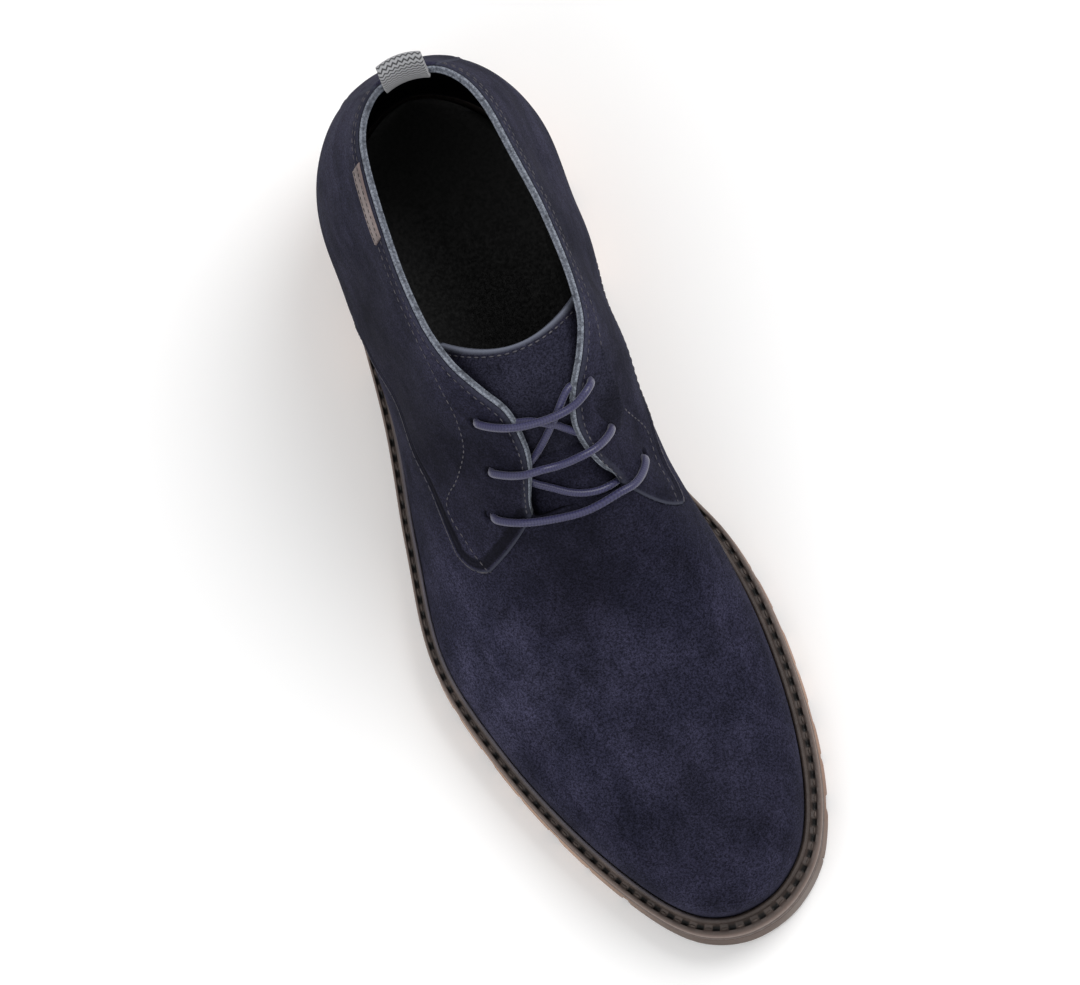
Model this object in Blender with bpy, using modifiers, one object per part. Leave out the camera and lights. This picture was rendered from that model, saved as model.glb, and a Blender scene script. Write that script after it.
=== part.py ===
# Suede chukka boot, right shoe, standing on its sole.
#
# The model is laid out in millimetres and made in metres. t runs from the toe tip (0) to the back of
# the sole, x is positive on the medial side and z is the height above the floor. In the world the toe
# points to -Y and the origin is on the floor, under the middle of the shoe.

import math
from collections import namedtuple

import bmesh
import bpy
from mathutils import Vector
from mathutils.bvhtree import BVHTree

MM = 0.001

# Driving sizes, in millimetres
SOLE_LENGTH = 306.0
CENTRE_T = 153.15        # middle of the finished shoe's box
CENTRE_X = 0.25
GAP = 0.3                # clearance between pieces that touch
PATCH_GAP = 0.55         # the same for pieces that lie on the upper's curved facets
STATIONS = 36            # columns on each side, toe to heel
WALL = 2.2               # upper: suede, interlining and lining together
RISER = 3.2              # upright foot of the upper, behind the welt's rim
UPPER_RINGS = 11         # rings of the upper above the riser
VAMP_TO_QUARTER = {-1: (118.0, 190.0), 1: (98.0, 160.0)}    # by side, the feet between which one
                                                            # way of shaping the wall fades to the other
OUTSOLE_STEP = 1.3       # the sole's side leans in by this much up to the midsole
WELT_STEP = 1.6          # the welt's edge lies this far inside the tread's edge
RIM_WIDTH = 1.7
RIM_HEIGHT = 2.6
INSOLE_RISE = 4.0        # footbed above the welt
TREAD_DEPTH = 4.2
TREAD_BORDER = 19.0      # width of the row of lugs round the edge
LACE_DIAMETER = 3.2
LACE_GAP = 0.75          # the laces pass over facets and edges of the facings
LOOP_WIDTH = 15.0
LOOP_THICKNESS = 1.2
STRIP_THICKNESS = 1.2
STRIP_ROWS = 14
TAG_THICKNESS = 1.0
TONGUE_THICKNESS = 1.8

# Tread edge in plan, toe to heel. rim is the distance from the welt's edge to the upper.
EdgeRow = namedtuple("EdgeRow", "t x rim")
TOE_TIP = EdgeRow(0, 12, 5.0)
HEEL_BACK = EdgeRow(306, 1.5, 4.2)
LATERAL_EDGE = [
    EdgeRow(5, -4.5, 4.6), EdgeRow(20, -18.5, 4.0), EdgeRow(50, -35.5, 3.6), EdgeRow(85, -49, 3.4),
    EdgeRow(120, -56.5, 3.4), EdgeRow(160, -51.5, 3.6), EdgeRow(200, -44, 3.6),
    EdgeRow(240, -40, 3.4), EdgeRow(272, -36.5, 3.4), EdgeRow(296, -21.5, 4.0)]
MEDIAL_EDGE = [
    EdgeRow(5, 30, 4.8), EdgeRow(20, 44.5, 4.6), EdgeRow(50, 54, 4.4), EdgeRow(92, 56.5, 4.3),
    EdgeRow(125, 52, 4.2), EdgeRow(152, 41.5, 3.6), EdgeRow(185, 36.8, 3.4),
    EdgeRow(235, 40, 3.4), EdgeRow(272, 38.5, 3.4), EdgeRow(296, 23.5, 4.0)]

# Heights of the layers along the sole
LevelRow = namedtuple("LevelRow", "t outsole midsole welt")
SOLE_LEVELS = [
    LevelRow(0, 11.4, 14.9, 18.9), LevelRow(41, 9.9, 13.6, 17.2), LevelRow(73, 10.4, 13.9, 18.0),
    LevelRow(106, 12.6, 16.2, 19.8), LevelRow(147, 15.8, 19.3, 23.1), LevelRow(176, 19.6, 22.9, 26.7),
    LevelRow(209, 25.5, 28.7, 32.1), LevelRow(229, 27.5, 31.0, 34.3), LevelRow(278, 31.0, 34.4, 38.0),
    LevelRow(306, 31.4, 34.8, 38.4)]

# Underside from toe to heel: toe spring, flat tread, rise to the arch, heel breast, flat heel
UndersideRow = namedtuple("UndersideRow", "t z")
UNDERSIDE = [
    UndersideRow(-9, 3.6), UndersideRow(6, 2.0), UndersideRow(16, 0.8), UndersideRow(30, 0.0),
    UndersideRow(84, 0.0), UndersideRow(98, 1.0), UndersideRow(110, 2.2), UndersideRow(132, 4.2),
    UndersideRow(153, 5.7), UndersideRow(154.5, 10.2), UndersideRow(214.4, 15.1),
    UndersideRow(217.7, 5.4), UndersideRow(223.5, 5.4), UndersideRow(226.2, 0.0), UndersideRow(315, 0.0)]

# Notches between the lugs: where on the edge, width at the tread and at the top, height, reach inward
NotchRow = namedtuple("NotchRow", "t low high height reach")
LATERAL_NOTCHES = [
    NotchRow(9.5, 2.6, 1.0, 6.2, 8), NotchRow(27, 8.8, 5.0, 6.0, 21), NotchRow(41, 4.0, 1.2, 5.6, 9),
    NotchRow(55.5, 10.2, 6.4, 5.8, 23), NotchRow(71, 4.8, 1.4, 5.4, 9), NotchRow(87.5, 11.4, 7.2, 6.0, 23),
    NotchRow(105, 6.6, 2.6, 7.4, 10), NotchRow(121.5, 12.8, 8.0, 9.0, 23),
    NotchRow(140.5, 6.8, 3.0, 10.4, 10),
    NotchRow(236.8, 2.4, 1.2, 2.6, 6), NotchRow(253, 8.4, 6.0, 6.4, 17), NotchRow(268, 2.0, 1.2, 5.4, 7),
    NotchRow(284.5, 9.2, 6.6, 6.8, 15)]
MEDIAL_NOTCHES = [
    NotchRow(17, 3.0, 1.0, 5.8, 8), NotchRow(34, 8.8, 5.0, 5.8, 21), NotchRow(49, 4.0, 1.2, 5.6, 9),
    NotchRow(64, 10.2, 6.4, 5.8, 23), NotchRow(80, 4.8, 1.4, 5.4, 9), NotchRow(97, 11.4, 7.2, 7.0, 23),
    NotchRow(114, 6.6, 2.6, 8.0, 10), NotchRow(131, 11.8, 7.4, 9.6, 21), NotchRow(145.5, 5.0, 2.4, 10.4, 10),
    NotchRow(242, 2.4, 1.2, 2.6, 6), NotchRow(256, 8.4, 6.0, 6.4, 17), NotchRow(271, 2.0, 1.2, 5.4, 7),
    NotchRow(285.5, 9.2, 6.6, 6.8, 15)]

# Crossed lugs left standing in the hollow middle of the tread
CentreLugRow = namedtuple("CentreLugRow", "t x length")
CENTRE_LUGS = [
    CentreLugRow(42, 11, 22), CentreLugRow(70, 7, 28), CentreLugRow(100, 1, 28), CentreLugRow(128, -2, 26),
    CentreLugRow(262, 2, 20)]
CENTRE_LUG_BAR = 6.5
# Hollows of the tread: from and to, with the width of the border that stays
TREAD_HOLLOWS = [(24.0, 149.0, TREAD_BORDER), (238.0, 288.0, 16.0)]

# Centre line of the vamp from the toe to the throat, then of the facings
CrownRow = namedtuple("CrownRow", "t z x")
CROWN = [
    CrownRow(6.6, 22.4, 13), CrownRow(7.9, 31.6, 13), CrownRow(11.8, 35.8, 13), CrownRow(16.1, 39.0, 13),
    CrownRow(24.3, 43.2, 13), CrownRow(32.5, 46.0, 13), CrownRow(41, 46.9, 13), CrownRow(57, 46.8, 12.8),
    CrownRow(73, 49.2, 12.5), CrownRow(89, 54.6, 12), CrownRow(106, 63.8, 11.6), CrownRow(122, 76.8, 11.3),
    CrownRow(131, 84.8, 11.1), CrownRow(141, 94.4, 11), CrownRow(151, 108.5, 10.5), CrownRow(163, 124, 10.3),
    CrownRow(180, 133, 10)]
# Fullness of the vamp's cross-sections: a low number is peaked, a high one is square
SquareRow = namedtuple("SquareRow", "t lateral medial")
SQUARENESS = [
    SquareRow(0, 2.3, 2.3), SquareRow(50, 2.2, 2.3), SquareRow(95, 1.75, 2.45), SquareRow(125, 1.42, 2.6),
    SquareRow(140, 1.35, 2.5), SquareRow(180, 1.35, 2.4)]

# Top edge of the upper for a foot at each t: throat, facings, collar. belly is how far the wall
# swells out beyond its foot.
HeadRow = namedtuple("HeadRow", "foot t lateral medial z lateral_belly medial_belly")
TOP_EDGE = [
    HeadRow(0, 139.5, 11.0, 11.0, 92.9, 0, 5), HeadRow(45, 139.5, 3.2, 18.6, 92.4, 0, 5),
    HeadRow(85, 139.7, -3.0, 23.6, 91.0, 0, 5), HeadRow(107, 141.0, -5.6, 25.2, 91.8, 0.2, 5.4),
    HeadRow(119, 143.8, -5.2, 24.4, 96.6, 0.4, 5.8), HeadRow(129, 148.8, -2.8, 21.2, 105.6, 0.7, 6.4),
    HeadRow(138, 157.0, 0.2, 18.6, 116.4, 1, 7.6), HeadRow(148, 167.3, -0.6, 22.1, 125.3, 1.2, 8.4),
    HeadRow(159, 177.0, -6.4, 28.4, 130.2, 1.5, 8.2), HeadRow(174, 190.0, -13.4, 33.4, 133.8, 2, 7.8),
    HeadRow(192, 205.0, -16.9, 34.6, 136.8, 3, 7.6),
    HeadRow(213, 222.0, -17.9, 33.9, 140.2, 5, 7.2), HeadRow(240, 243.0, -17.2, 31.2, 143.8, 8.3, 7.6),
    HeadRow(271, 262.5, -15.2, 28.2, 144.9, 9.2, 8.1), HeadRow(290, 273.5, -10.2, 23.4, 145.0, 8.8, 8.4),
    HeadRow(303, 279.8, -2.2, 15.6, 145.1, 7.0, 7.2), HeadRow(306, 281.5, 6.6, 6.6, 145.1, 5.9, 5.9)]

# Side edge of the back strip, top to bottom
StripRow = namedtuple("StripRow", "z t")
BACK_STRIP = [
    StripRow(144.2, 279.0), StripRow(136, 280.6), StripRow(125, 283.0), StripRow(110, 286.2),
    StripRow(95, 290.2), StripRow(80, 293.6), StripRow(66, 294.2), StripRow(54, 291.4), StripRow(43.2, 287.6)]

# Tongue, from under the vamp to its top edge: middle, half width, fall and setback of its sides
TongueRow = namedtuple("TongueRow", "t z half drop back")
TONGUE = [
    TongueRow(114, 64.5, 17, 6, 0), TongueRow(124, 73.5, 18.5, 9, 0), TongueRow(133, 80.0, 19, 12, 0),
    TongueRow(140, 86.6, 18.5, 13, 0), TongueRow(147, 96.5, 18.5, 13, 1), TongueRow(154, 107.5, 20, 14, 2),
    TongueRow(161, 117.5, 24.5, 16, 3), TongueRow(168, 124.5, 25, 15, 4), TongueRow(175, 129.5, 25, 13, 6),
    TongueRow(181, 132.6, 24.5, 11, 8), TongueRow(187, 134.6, 24, 9, 11)]
TONGUE_COLUMNS = 15
BESIDE = 0.7             # a nearest point seen more sideways than this is the edge of an opening

# Eyelets and the highest point of the lace bar between them
LaceRow = namedtuple("LaceRow", "t lateral lateral_z medial medial_z middle_t middle_x middle_z")
LACES = [
    LaceRow(148.7, -16.5, 86.5, 39.0, 86.5, 135.5, 12.0, 93.6),
    LaceRow(157.0, -11.5, 105.5, 32.0, 105.5, 149.0, 10.5, 112.6),
    LaceRow(171.0, -9.9, 121.0, 30.0, 121.0, 162.5, 10.0, 127.6)]
LACE_STEPS = 18

# Pull loop seen from the side: inside the collar, up, over and back down beside itself
LoopRow = namedtuple("LoopRow", "t z")
PULL_LOOP = [
    LoopRow(280.6, 133.5), LoopRow(278.9, 139.5), LoopRow(277.8, 145.5), LoopRow(278.4, 151),
    LoopRow(280, 157), LoopRow(281.8, 161.6), LoopRow(281.7, 164.2), LoopRow(279.8, 164.9),
    LoopRow(277.9, 162.4), LoopRow(276.6, 157), LoopRow(276.0, 151), LoopRow(275.8, 145.5),
    LoopRow(276.9, 139.5), LoopRow(278.5, 133.9)]
LOOP_CENTRE = 6.6
LOOP_BEND = 19.0         # radius of the collar's back, seen from above

TAG_FROM = 233.5         # collar tag, along the collar's edge
TAG_TO = 258.5
TAG_HEIGHT = 8.2


EDGE_STEPS = 24          # dense points between two rows of the tread's edge
TOE_ROUND = 8.0          # the upper's foot is read as a parabola this far behind the toe
VAMP_SWELL = 0.8         # how far the vamp swells out over its foot
SWELL_LOW = 0.6          # below 1, a wall swells most in its lower half
RIM_CHAMFER = 0.5
EDGE_CHAMFER = 0.8       # of the welt's upper corner
TABLE_WIDTH = 75.0       # half width of the cutter under the sole
NOTCH_OVERRUN = 5.0      # how far a notch's cutter starts outside the edge
CUT_BELOW = -6.0         # where cutters start, under the floor
NOTCH_ROOF = 2.0         # least height of a notch above the underside
SOLE_BLANK = -2.0        # underside of the outsole's blank, before it is cut
INSOLE_PLAY = 0.3        # more clearance round the footbed

# Colour and roughness of each material
FINISHES = {
    "gum_rubber": ((0.40, 0.24, 0.14), 0.55),
    "midsole_edge": ((0.13, 0.10, 0.08), 0.6),
    "welt_leather": ((0.21, 0.17, 0.15), 0.6),
    "footbed": ((0.004, 0.004, 0.004), 0.8),
    "navy_suede": ((0.020, 0.020, 0.038), 0.95),
    "tag_leather": ((0.20, 0.15, 0.13), 0.7),
    "webbing": ((0.16, 0.17, 0.17), 0.8),
    "lace_cord": ((0.060, 0.058, 0.150), 0.7),
}


# ---------------------------------------------------------------- curves through the tables

EdgePoint = namedtuple("EdgePoint", "t x rim normal_t normal_x")
Column = namedtuple("Column", "side angle t x rim normal_t normal_x")


def smooth(keys, values, at):
    """Cubic through the values at the keys, which never swings past them."""
    if at <= keys[0]:
        return values[0]
    if at >= keys[-1]:
        return values[-1]
    steps = [b - a for a, b in zip(keys, keys[1:])]
    rises = [(b - a) / step for a, b, step in zip(values, values[1:], steps)]
    slopes = [rises[0]]
    for i in range(1, len(rises)):
        before, after = rises[i - 1], rises[i]
        if before * after <= 0:
            slopes.append(0.0)
        else:
            low = 2 * steps[i] + steps[i - 1]
            high = steps[i] + 2 * steps[i - 1]
            slopes.append((low + high) / (low / before + high / after))
    slopes.append(rises[-1])
    i = max(k for k in range(len(steps)) if keys[k] <= at)
    s = (at - keys[i]) / steps[i]
    return (values[i] * (1 + 2 * s) * (1 - s) ** 2 + values[i + 1] * s * s * (3 - 2 * s)
            + steps[i] * (slopes[i] * s * (1 - s) ** 2 - slopes[i + 1] * s * s * (1 - s)))


def column(rows, name):
    return [getattr(row, name) for row in rows]


def along(rows, name, t):
    return smooth(column(rows, "t"), column(rows, name), t)


def closed_curve(rows, steps):
    """Points on a smooth closed curve through the rows: one cubic between each two rows."""
    count = len(rows)
    spans = [math.hypot(rows[(i + 1) % count].t - rows[i].t, rows[(i + 1) % count].x - rows[i].x)
             for i in range(count)]
    points = []
    for i in range(count):
        before, a, b, after = (rows[(i + k) % count] for k in (-1, 0, 1, 2))
        span = spans[i]
        for step in range(steps):
            s = step / steps
            point = []
            for va, vb, vbefore, vafter in zip(a, b, before, after):
                slope_a = (vb - vbefore) / (span + spans[i - 1])
                slope_b = (vafter - va) / (span + spans[(i + 1) % count])
                point.append(va * (1 + 2 * s) * (1 - s) ** 2 + vb * s * s * (3 - 2 * s)
                             + span * (slope_a * s * (1 - s) ** 2 - slope_b * s * s * (1 - s)))
            points.append(EdgeRow(*point))
    return points


def edge_half(side):
    """The tread's edge on one side as dense points from toe to heel, with inward normals."""
    loop = closed_curve([TOE_TIP] + LATERAL_EDGE + [HEEL_BACK] + MEDIAL_EDGE[::-1], EDGE_STEPS)
    heel = (len(LATERAL_EDGE) + 1) * EDGE_STEPS
    order = range(heel + 1) if side < 0 else range(len(loop), heel - 1, -1)
    half = []
    for i in order:
        here, ahead, behind = loop[i % len(loop)], loop[(i + 1) % len(loop)], loop[i - 1]
        run_t, run_x = ahead.t - behind.t, ahead.x - behind.x
        length = math.hypot(run_t, run_x)
        half.append(EdgePoint(here.t, here.x, here.rim, -run_x / length, run_t / length))
    return half


HALVES = {-1: edge_half(-1), 1: edge_half(1)}


def edge_column(side, angle):
    """The tread's edge and its inward normal at a station angle, 0 at the toe and pi at the heel."""
    half = HALVES[side]
    t = SOLE_LENGTH / 2 * (1 - math.cos(angle))
    i = 0
    while i < len(half) - 2 and half[i + 1].t < t:
        i += 1
    a, b = half[i], half[i + 1]
    s = min(1.0, max(0.0, (t - a.t) / max(1e-9, b.t - a.t)))
    point = [va + (vb - va) * s for va, vb in zip(a, b)]
    length = math.hypot(point[3], point[4])
    return Column(side, angle, point[0], point[1], point[2], point[3] / length, point[4] / length)


def inset(col, distance):
    return col.t + col.normal_t * distance, col.x + col.normal_x * distance


def station_angle(t):
    return math.acos(1 - 2 * min(1.0, max(0.0, t / SOLE_LENGTH)))


STATION_ANGLES = [math.pi * k / STATIONS for k in range(STATIONS + 1)]
LATERAL = [edge_column(-1, angle) for angle in STATION_ANGLES]
MEDIAL = [edge_column(1, angle) for angle in STATION_ANGLES]
# Once round: toe tip, lateral side, heel back, medial side
AROUND = LATERAL + MEDIAL[-2:0:-1]


# ---------------------------------------------------------------- the upper as a function

def feather_inset(col):
    """How far the upper's outer face lies inside the tread's edge."""
    return WELT_STEP + col.rim


FEATHER = {side: [inset(col, feather_inset(col)) for col in cols]
           for side, cols in ((-1, LATERAL), (1, MEDIAL))}


def feather_x(side, t):
    """Where the upper's foot is on one side at t."""
    points = FEATHER[side]
    if t <= points[0][0]:
        return points[0][1]
    for a, b in zip(points, points[1:]):
        if a[0] <= t <= b[0]:
            s = (t - a[0]) / (b[0] - a[0])
            ahead = b[0] - points[0][0]
            if a[0] - points[0][0] < TOE_ROUND:     # the toe's curve is steep here, so follow a parabola
                share = math.sqrt(max(0.0, t - points[0][0]) / ahead)
                low = math.sqrt(max(0.0, a[0] - points[0][0]) / ahead)
                s = (share - low) / (1 - low)
            return a[1] + (b[1] - a[1]) * s
    return points[-1][1]


def crown(t, name):
    """The vamp's centre line; it is read along the square root of t, which is even round the toe."""
    start = CROWN[0].t
    keys = [math.sqrt(row.t - start) for row in CROWN]
    return smooth(keys, column(CROWN, name), math.sqrt(max(0.0, t - start)))


def vamp_height(t, x):
    """Height of the vamp: an arch between the feet of each cross-section and the centre line."""
    base = along(SOLE_LEVELS, "welt", t) + GAP + RISER
    centre = crown(t, "x")
    side = -1 if x < centre else 1
    half = abs(feather_x(side, t) - centre)
    share = min(1.0, abs(x - centre) / max(half, 1e-6))
    power = along(SQUARENESS, "lateral" if side < 0 else "medial", t)
    return base + max(0.0, crown(t, "z") - base) * (1 - share ** power) ** (1 / power)


def top_edge(side, angle):
    keys = [station_angle(row.foot) for row in TOP_EDGE]
    name = "lateral" if side < 0 else "medial"
    values = [smooth(keys, column(TOP_EDGE, part), angle) for part in ("t", name, "z", name + "_belly")]
    return values


def upper_point(side, angle, rise):
    """A point of the upper's outer face: rise is 0 at the top of the riser and 1 at the top edge."""
    col = edge_column(side, angle)
    foot_t, foot_x = inset(col, feather_inset(col))
    head_t, head_x, head_z, belly = top_edge(side, angle)
    foot_z = along(SOLE_LEVELS, "welt", foot_t) + GAP + RISER
    swell = math.sin(math.pi * rise ** SWELL_LOW)
    # Vamp: inward over the arches of the cross-sections
    share = 1 - math.cos(rise * math.pi / 2)
    t, x = foot_t + (head_t - foot_t) * share, foot_x + (head_x - foot_x) * share
    settle = (head_z - vamp_height(head_t, head_x)) * share ** 2
    front = (t - col.normal_t * VAMP_SWELL * swell, x - col.normal_x * VAMP_SWELL * swell,
             vamp_height(t, x) + settle)
    # Quarter: a wall that leans to the collar and swells out on the way
    out = belly * swell
    back = (foot_t + (head_t - foot_t) * rise - col.normal_t * out,
            foot_x + (head_x - foot_x) * rise - col.normal_x * out,
            foot_z + (head_z - foot_z) * rise)
    front_end, back_start = VAMP_TO_QUARTER[side]
    s = min(1.0, max(0.0, (col.t - front_end) / (back_start - front_end)))
    weight = s * s * (3 - 2 * s)
    return tuple(a + (b - a) * weight for a, b in zip(front, back))


def upper_normal(side, angle, rise):
    """Outward unit normal of the upper's outer face, as (t, x, z)."""
    step_angle, step_rise = 0.01, 0.01
    angle = min(math.pi - 2 * step_angle, max(2 * step_angle, angle))
    a = upper_point(side, angle - step_angle, rise)
    b = upper_point(side, angle + step_angle, rise)
    c = upper_point(side, angle, max(0.0, rise - step_rise))
    d = upper_point(side, angle, min(1.0, rise + step_rise))
    along_edge = Vector((b[1] - a[1], b[0] - a[0], b[2] - a[2]))
    upward = Vector((d[1] - c[1], d[0] - c[0], d[2] - c[2]))
    normal = along_edge.cross(upward).normalized() * side
    return normal.y, normal.x, normal.z


def off_upper(side, angle, rise, distance):
    point = upper_point(side, angle, rise)
    normal = upper_normal(side, angle, rise)
    return tuple(p + n * distance for p, n in zip(point, normal))


# ---------------------------------------------------------------- Blender helpers

def place(t, x, z):
    """Layout millimetres to world metres."""
    return Vector((x - CENTRE_X, t - CENTRE_T, z)) * MM


def new_collection(name):
    made = bpy.data.collections.new(name)
    bpy.context.scene.collection.children.link(made)
    return made


def finish(name):
    """A Principled material from the table of finishes."""
    colour, roughness = FINISHES[name]
    material = bpy.data.materials.new(name)
    material.use_nodes = True
    shader = material.node_tree.nodes["Principled BSDF"]
    shader.inputs["Base Color"].default_value = (*colour, 1.0)
    shader.inputs["Roughness"].default_value = roughness
    shader.inputs["Metallic"].default_value = 0.0
    return material


def add_object(name, bm, collection, finish_name=None):
    mesh = bpy.data.meshes.new(name)
    bm.to_mesh(mesh)
    bm.free()
    made = bpy.data.objects.new(name, mesh)
    collection.objects.link(made)
    if finish_name:
        mesh.materials.append(MATERIALS[finish_name])
    return made


def shade(made, degrees=40):
    made.data.shade_smooth()
    made.data.set_sharp_from_angle(angle=math.radians(degrees))


def ring_faces(bm, rings, closed=True):
    """Quads between rings of vertices that have the same count."""
    for low, high in zip(rings, rings[1:]):
        count = len(low)
        for i in range(count if closed else count - 1):
            k = (i + 1) % count
            bm.faces.new((low[i], low[k], high[k], high[i]))


def cap_faces(bm, ring, up):
    """Close a ring of columns with strips from the lateral to the medial side."""
    count = len(ring)
    for i in range(count // 2):
        corners = [ring[i], ring[i + 1], ring[-(i + 1) % count], ring[-i % count]]
        unique = list(dict.fromkeys(corners))
        bm.faces.new(unique if up else unique[::-1])


def slab(name, low, high, collection, finish_name=None):
    """A plate whose outline is inset from the tread's edge. low and high are (inset, height) functions."""
    bm = bmesh.new()
    rings = []
    for distance, height in (low, high):
        ring = []
        for col in AROUND:
            t, x = inset(col, distance(col))
            ring.append(bm.verts.new(place(t, x, height(t))))
        rings.append(ring)
    cap_faces(bm, rings[0], up=False)
    ring_faces(bm, rings)
    cap_faces(bm, rings[1], up=True)
    bmesh.ops.recalc_face_normals(bm, faces=bm.faces)
    return add_object(name, bm, collection, finish_name)


def prism(bm, corners, reach):
    """Add a closed prism to a bmesh: a polygon of corners, swept along a vector."""
    base = [bm.verts.new(corner) for corner in corners]
    face = bm.faces.new(base)
    swept = bmesh.ops.extrude_face_region(bm, geom=[face])
    moved = [item for item in swept["geom"] if isinstance(item, bmesh.types.BMVert)]
    bmesh.ops.translate(bm, verts=moved, vec=reach)


def as_cutter(name, bm):
    bmesh.ops.recalc_face_normals(bm, faces=bm.faces)
    made = add_object(name, bm, CUTTERS)
    made.hide_render = True
    made.display_type = "WIRE"
    return made


def cut(target, cutter):
    modifier = target.modifiers.new(cutter.name, "BOOLEAN")
    modifier.operation = "DIFFERENCE"
    modifier.solver = "EXACT"
    modifier.object = cutter


def thicken(made, thickness, offset, even=True):
    """Solidify: offset -1 grows the wall inward, 1 outward. Even offsets spike at the throat's corners."""
    modifier = made.modifiers.new("wall", "SOLIDIFY")
    modifier.thickness = thickness * MM
    modifier.offset = offset
    modifier.use_even_offset = even
    modifier.use_rim = True


# ---------------------------------------------------------------- sole

def underside_cutter():
    """Everything below the underside's profile."""
    bm = bmesh.new()
    corners = [place(row.t, -TABLE_WIDTH, row.z) for row in UNDERSIDE]
    corners += [place(UNDERSIDE[i].t, -TABLE_WIDTH, CUT_BELOW) for i in (-1, 0)]
    prism(bm, corners, Vector((2 * TABLE_WIDTH * MM, 0, 0)))
    return as_cutter("underside_profile", bm)


def underside_at(t):
    rows = UNDERSIDE
    for a, b in zip(rows, rows[1:]):
        if a.t <= t <= b.t:
            return a.z + (b.z - a.z) * (t - a.t) / (b.t - a.t)
    return rows[-1].z


def notch_cutter():
    """Tapered slots cut inward from the tread's edge, between the lugs."""
    bm = bmesh.new()
    for side, rows in ((-1, LATERAL_NOTCHES), (1, MEDIAL_NOTCHES)):
        for row in rows:
            col = edge_column(side, station_angle(row.t))
            tread = underside_at(row.t)
            top = max(row.height, tread + NOTCH_ROOF)
            slope = (row.low - row.high) / 2 / (top - tread)
            low = row.high / 2 + slope * (top - CUT_BELOW)
            start_t, start_x = inset(col, -NOTCH_OVERRUN)
            corners = []
            for shift, z in ((-low, CUT_BELOW), (low, CUT_BELOW), (row.high / 2, top), (-row.high / 2, top)):
                t, x = start_t + shift * abs(col.normal_x), start_x - shift * col.normal_t * side
                corners.append(place(t, x, z))
            reach = Vector((col.normal_x, col.normal_t, 0)) * (row.reach + NOTCH_OVERRUN) * MM
            prism(bm, corners, reach)
    return as_cutter("lug_notches", bm)


def hollow_cutters():
    """The tread's hollow middles, each with its crossed lugs left out."""
    made = []
    for number, (start, end, border) in enumerate(TREAD_HOLLOWS):
        bm = bmesh.new()
        picked = [k for k in range(len(LATERAL))
                  if all(start <= inset(cols[k], border)[0] <= end for cols in (LATERAL, MEDIAL))]
        rows = []
        for k in picked:
            ends = [inset(cols[k], border) for cols in (LATERAL, MEDIAL)]
            t = (ends[0][0] + ends[1][0]) / 2
            rows.append([bm.verts.new(place(t, ends[i][1], z))
                         for i, z in ((0, CUT_BELOW), (1, CUT_BELOW), (1, underside_at(t) + TREAD_DEPTH),
                                      (0, underside_at(t) + TREAD_DEPTH))])
        ring_faces(bm, rows)
        bm.faces.new(rows[0])
        bm.faces.new(rows[-1])
        hollow = as_cutter("tread_hollow_%d" % (number + 1), bm)
        for lug in CENTRE_LUGS:
            if start < lug.t < end:
                for turn in (-1, 1):
                    cut(hollow, centre_lug_bar(lug, turn))
        made.append(hollow)
    return made


def centre_lug_bar(lug, turn):
    """One bar of a crossed lug, turned 45 degrees to the shoe."""
    bm = bmesh.new()
    bmesh.ops.create_cube(bm, size=1.0)
    bmesh.ops.scale(bm, verts=bm.verts, vec=Vector((lug.length, CENTRE_LUG_BAR, 60.0)) * MM)
    turned = Vector((1, turn, 0)).normalized()
    angle = math.atan2(turned.y, turned.x)
    for vert in bm.verts:
        x, y = vert.co.x, vert.co.y
        vert.co.x = x * math.cos(angle) - y * math.sin(angle)
        vert.co.y = x * math.sin(angle) + y * math.cos(angle)
    bmesh.ops.translate(bm, verts=bm.verts, vec=place(lug.t, lug.x, 0))
    return as_cutter("centre_lug_%d_%s" % (lug.t, "a" if turn < 0 else "b"), bm)


def build_outsole():
    """Gum outsole and heel block in one piece."""
    sole = slab("outsole", (lambda col: 0.0, lambda t: SOLE_BLANK),
                (lambda col: OUTSOLE_STEP, lambda t: along(SOLE_LEVELS, "outsole", t)), PARTS, "gum_rubber")
    cut(sole, underside_cutter())
    for cutter in hollow_cutters():
        cut(sole, cutter)
    cut(sole, notch_cutter())
    shade(sole, 30)
    return sole


def build_midsole():
    made = slab("midsole", (lambda col: OUTSOLE_STEP, lambda t: along(SOLE_LEVELS, "outsole", t) + GAP),
                (lambda col: WELT_STEP, lambda t: along(SOLE_LEVELS, "midsole", t)), PARTS, "midsole_edge")
    shade(made, 30)
    return made


def build_welt():
    """Flat welt with its raised rim, as one profile carried round the shoe."""
    bm = bmesh.new()
    rings = []
    for col in AROUND:
        rim_out = feather_inset(col) - GAP - RIM_WIDTH
        rim_in = feather_inset(col) - GAP
        inner = feather_inset(col) + WALL + GAP
        profile = [
            (WELT_STEP, "midsole", GAP), (WELT_STEP, "welt", -EDGE_CHAMFER),
            (WELT_STEP + EDGE_CHAMFER, "welt", 0.0),
            (rim_out, "welt", 0.0), (rim_out, "welt", RIM_HEIGHT - RIM_CHAMFER),
            (rim_out + RIM_CHAMFER, "welt", RIM_HEIGHT),
            (rim_in, "welt", RIM_HEIGHT), (rim_in, "welt", 0.0),
            (inner, "welt", 0.0), (inner, "midsole", GAP)]
        ring = []
        for distance, level, above in profile:
            t, x = inset(col, distance)
            ring.append(bm.verts.new(place(t, x, along(SOLE_LEVELS, level, t) + above)))
        rings.append(ring)
    rings.append(rings[0])
    ring_faces(bm, rings)
    bmesh.ops.recalc_face_normals(bm, faces=bm.faces)
    made = add_object("welt", bm, PARTS, "welt_leather")
    shade(made, 35)
    return made


def insole_inset(col):
    return feather_inset(col) + WALL + 2 * GAP + INSOLE_PLAY


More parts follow.
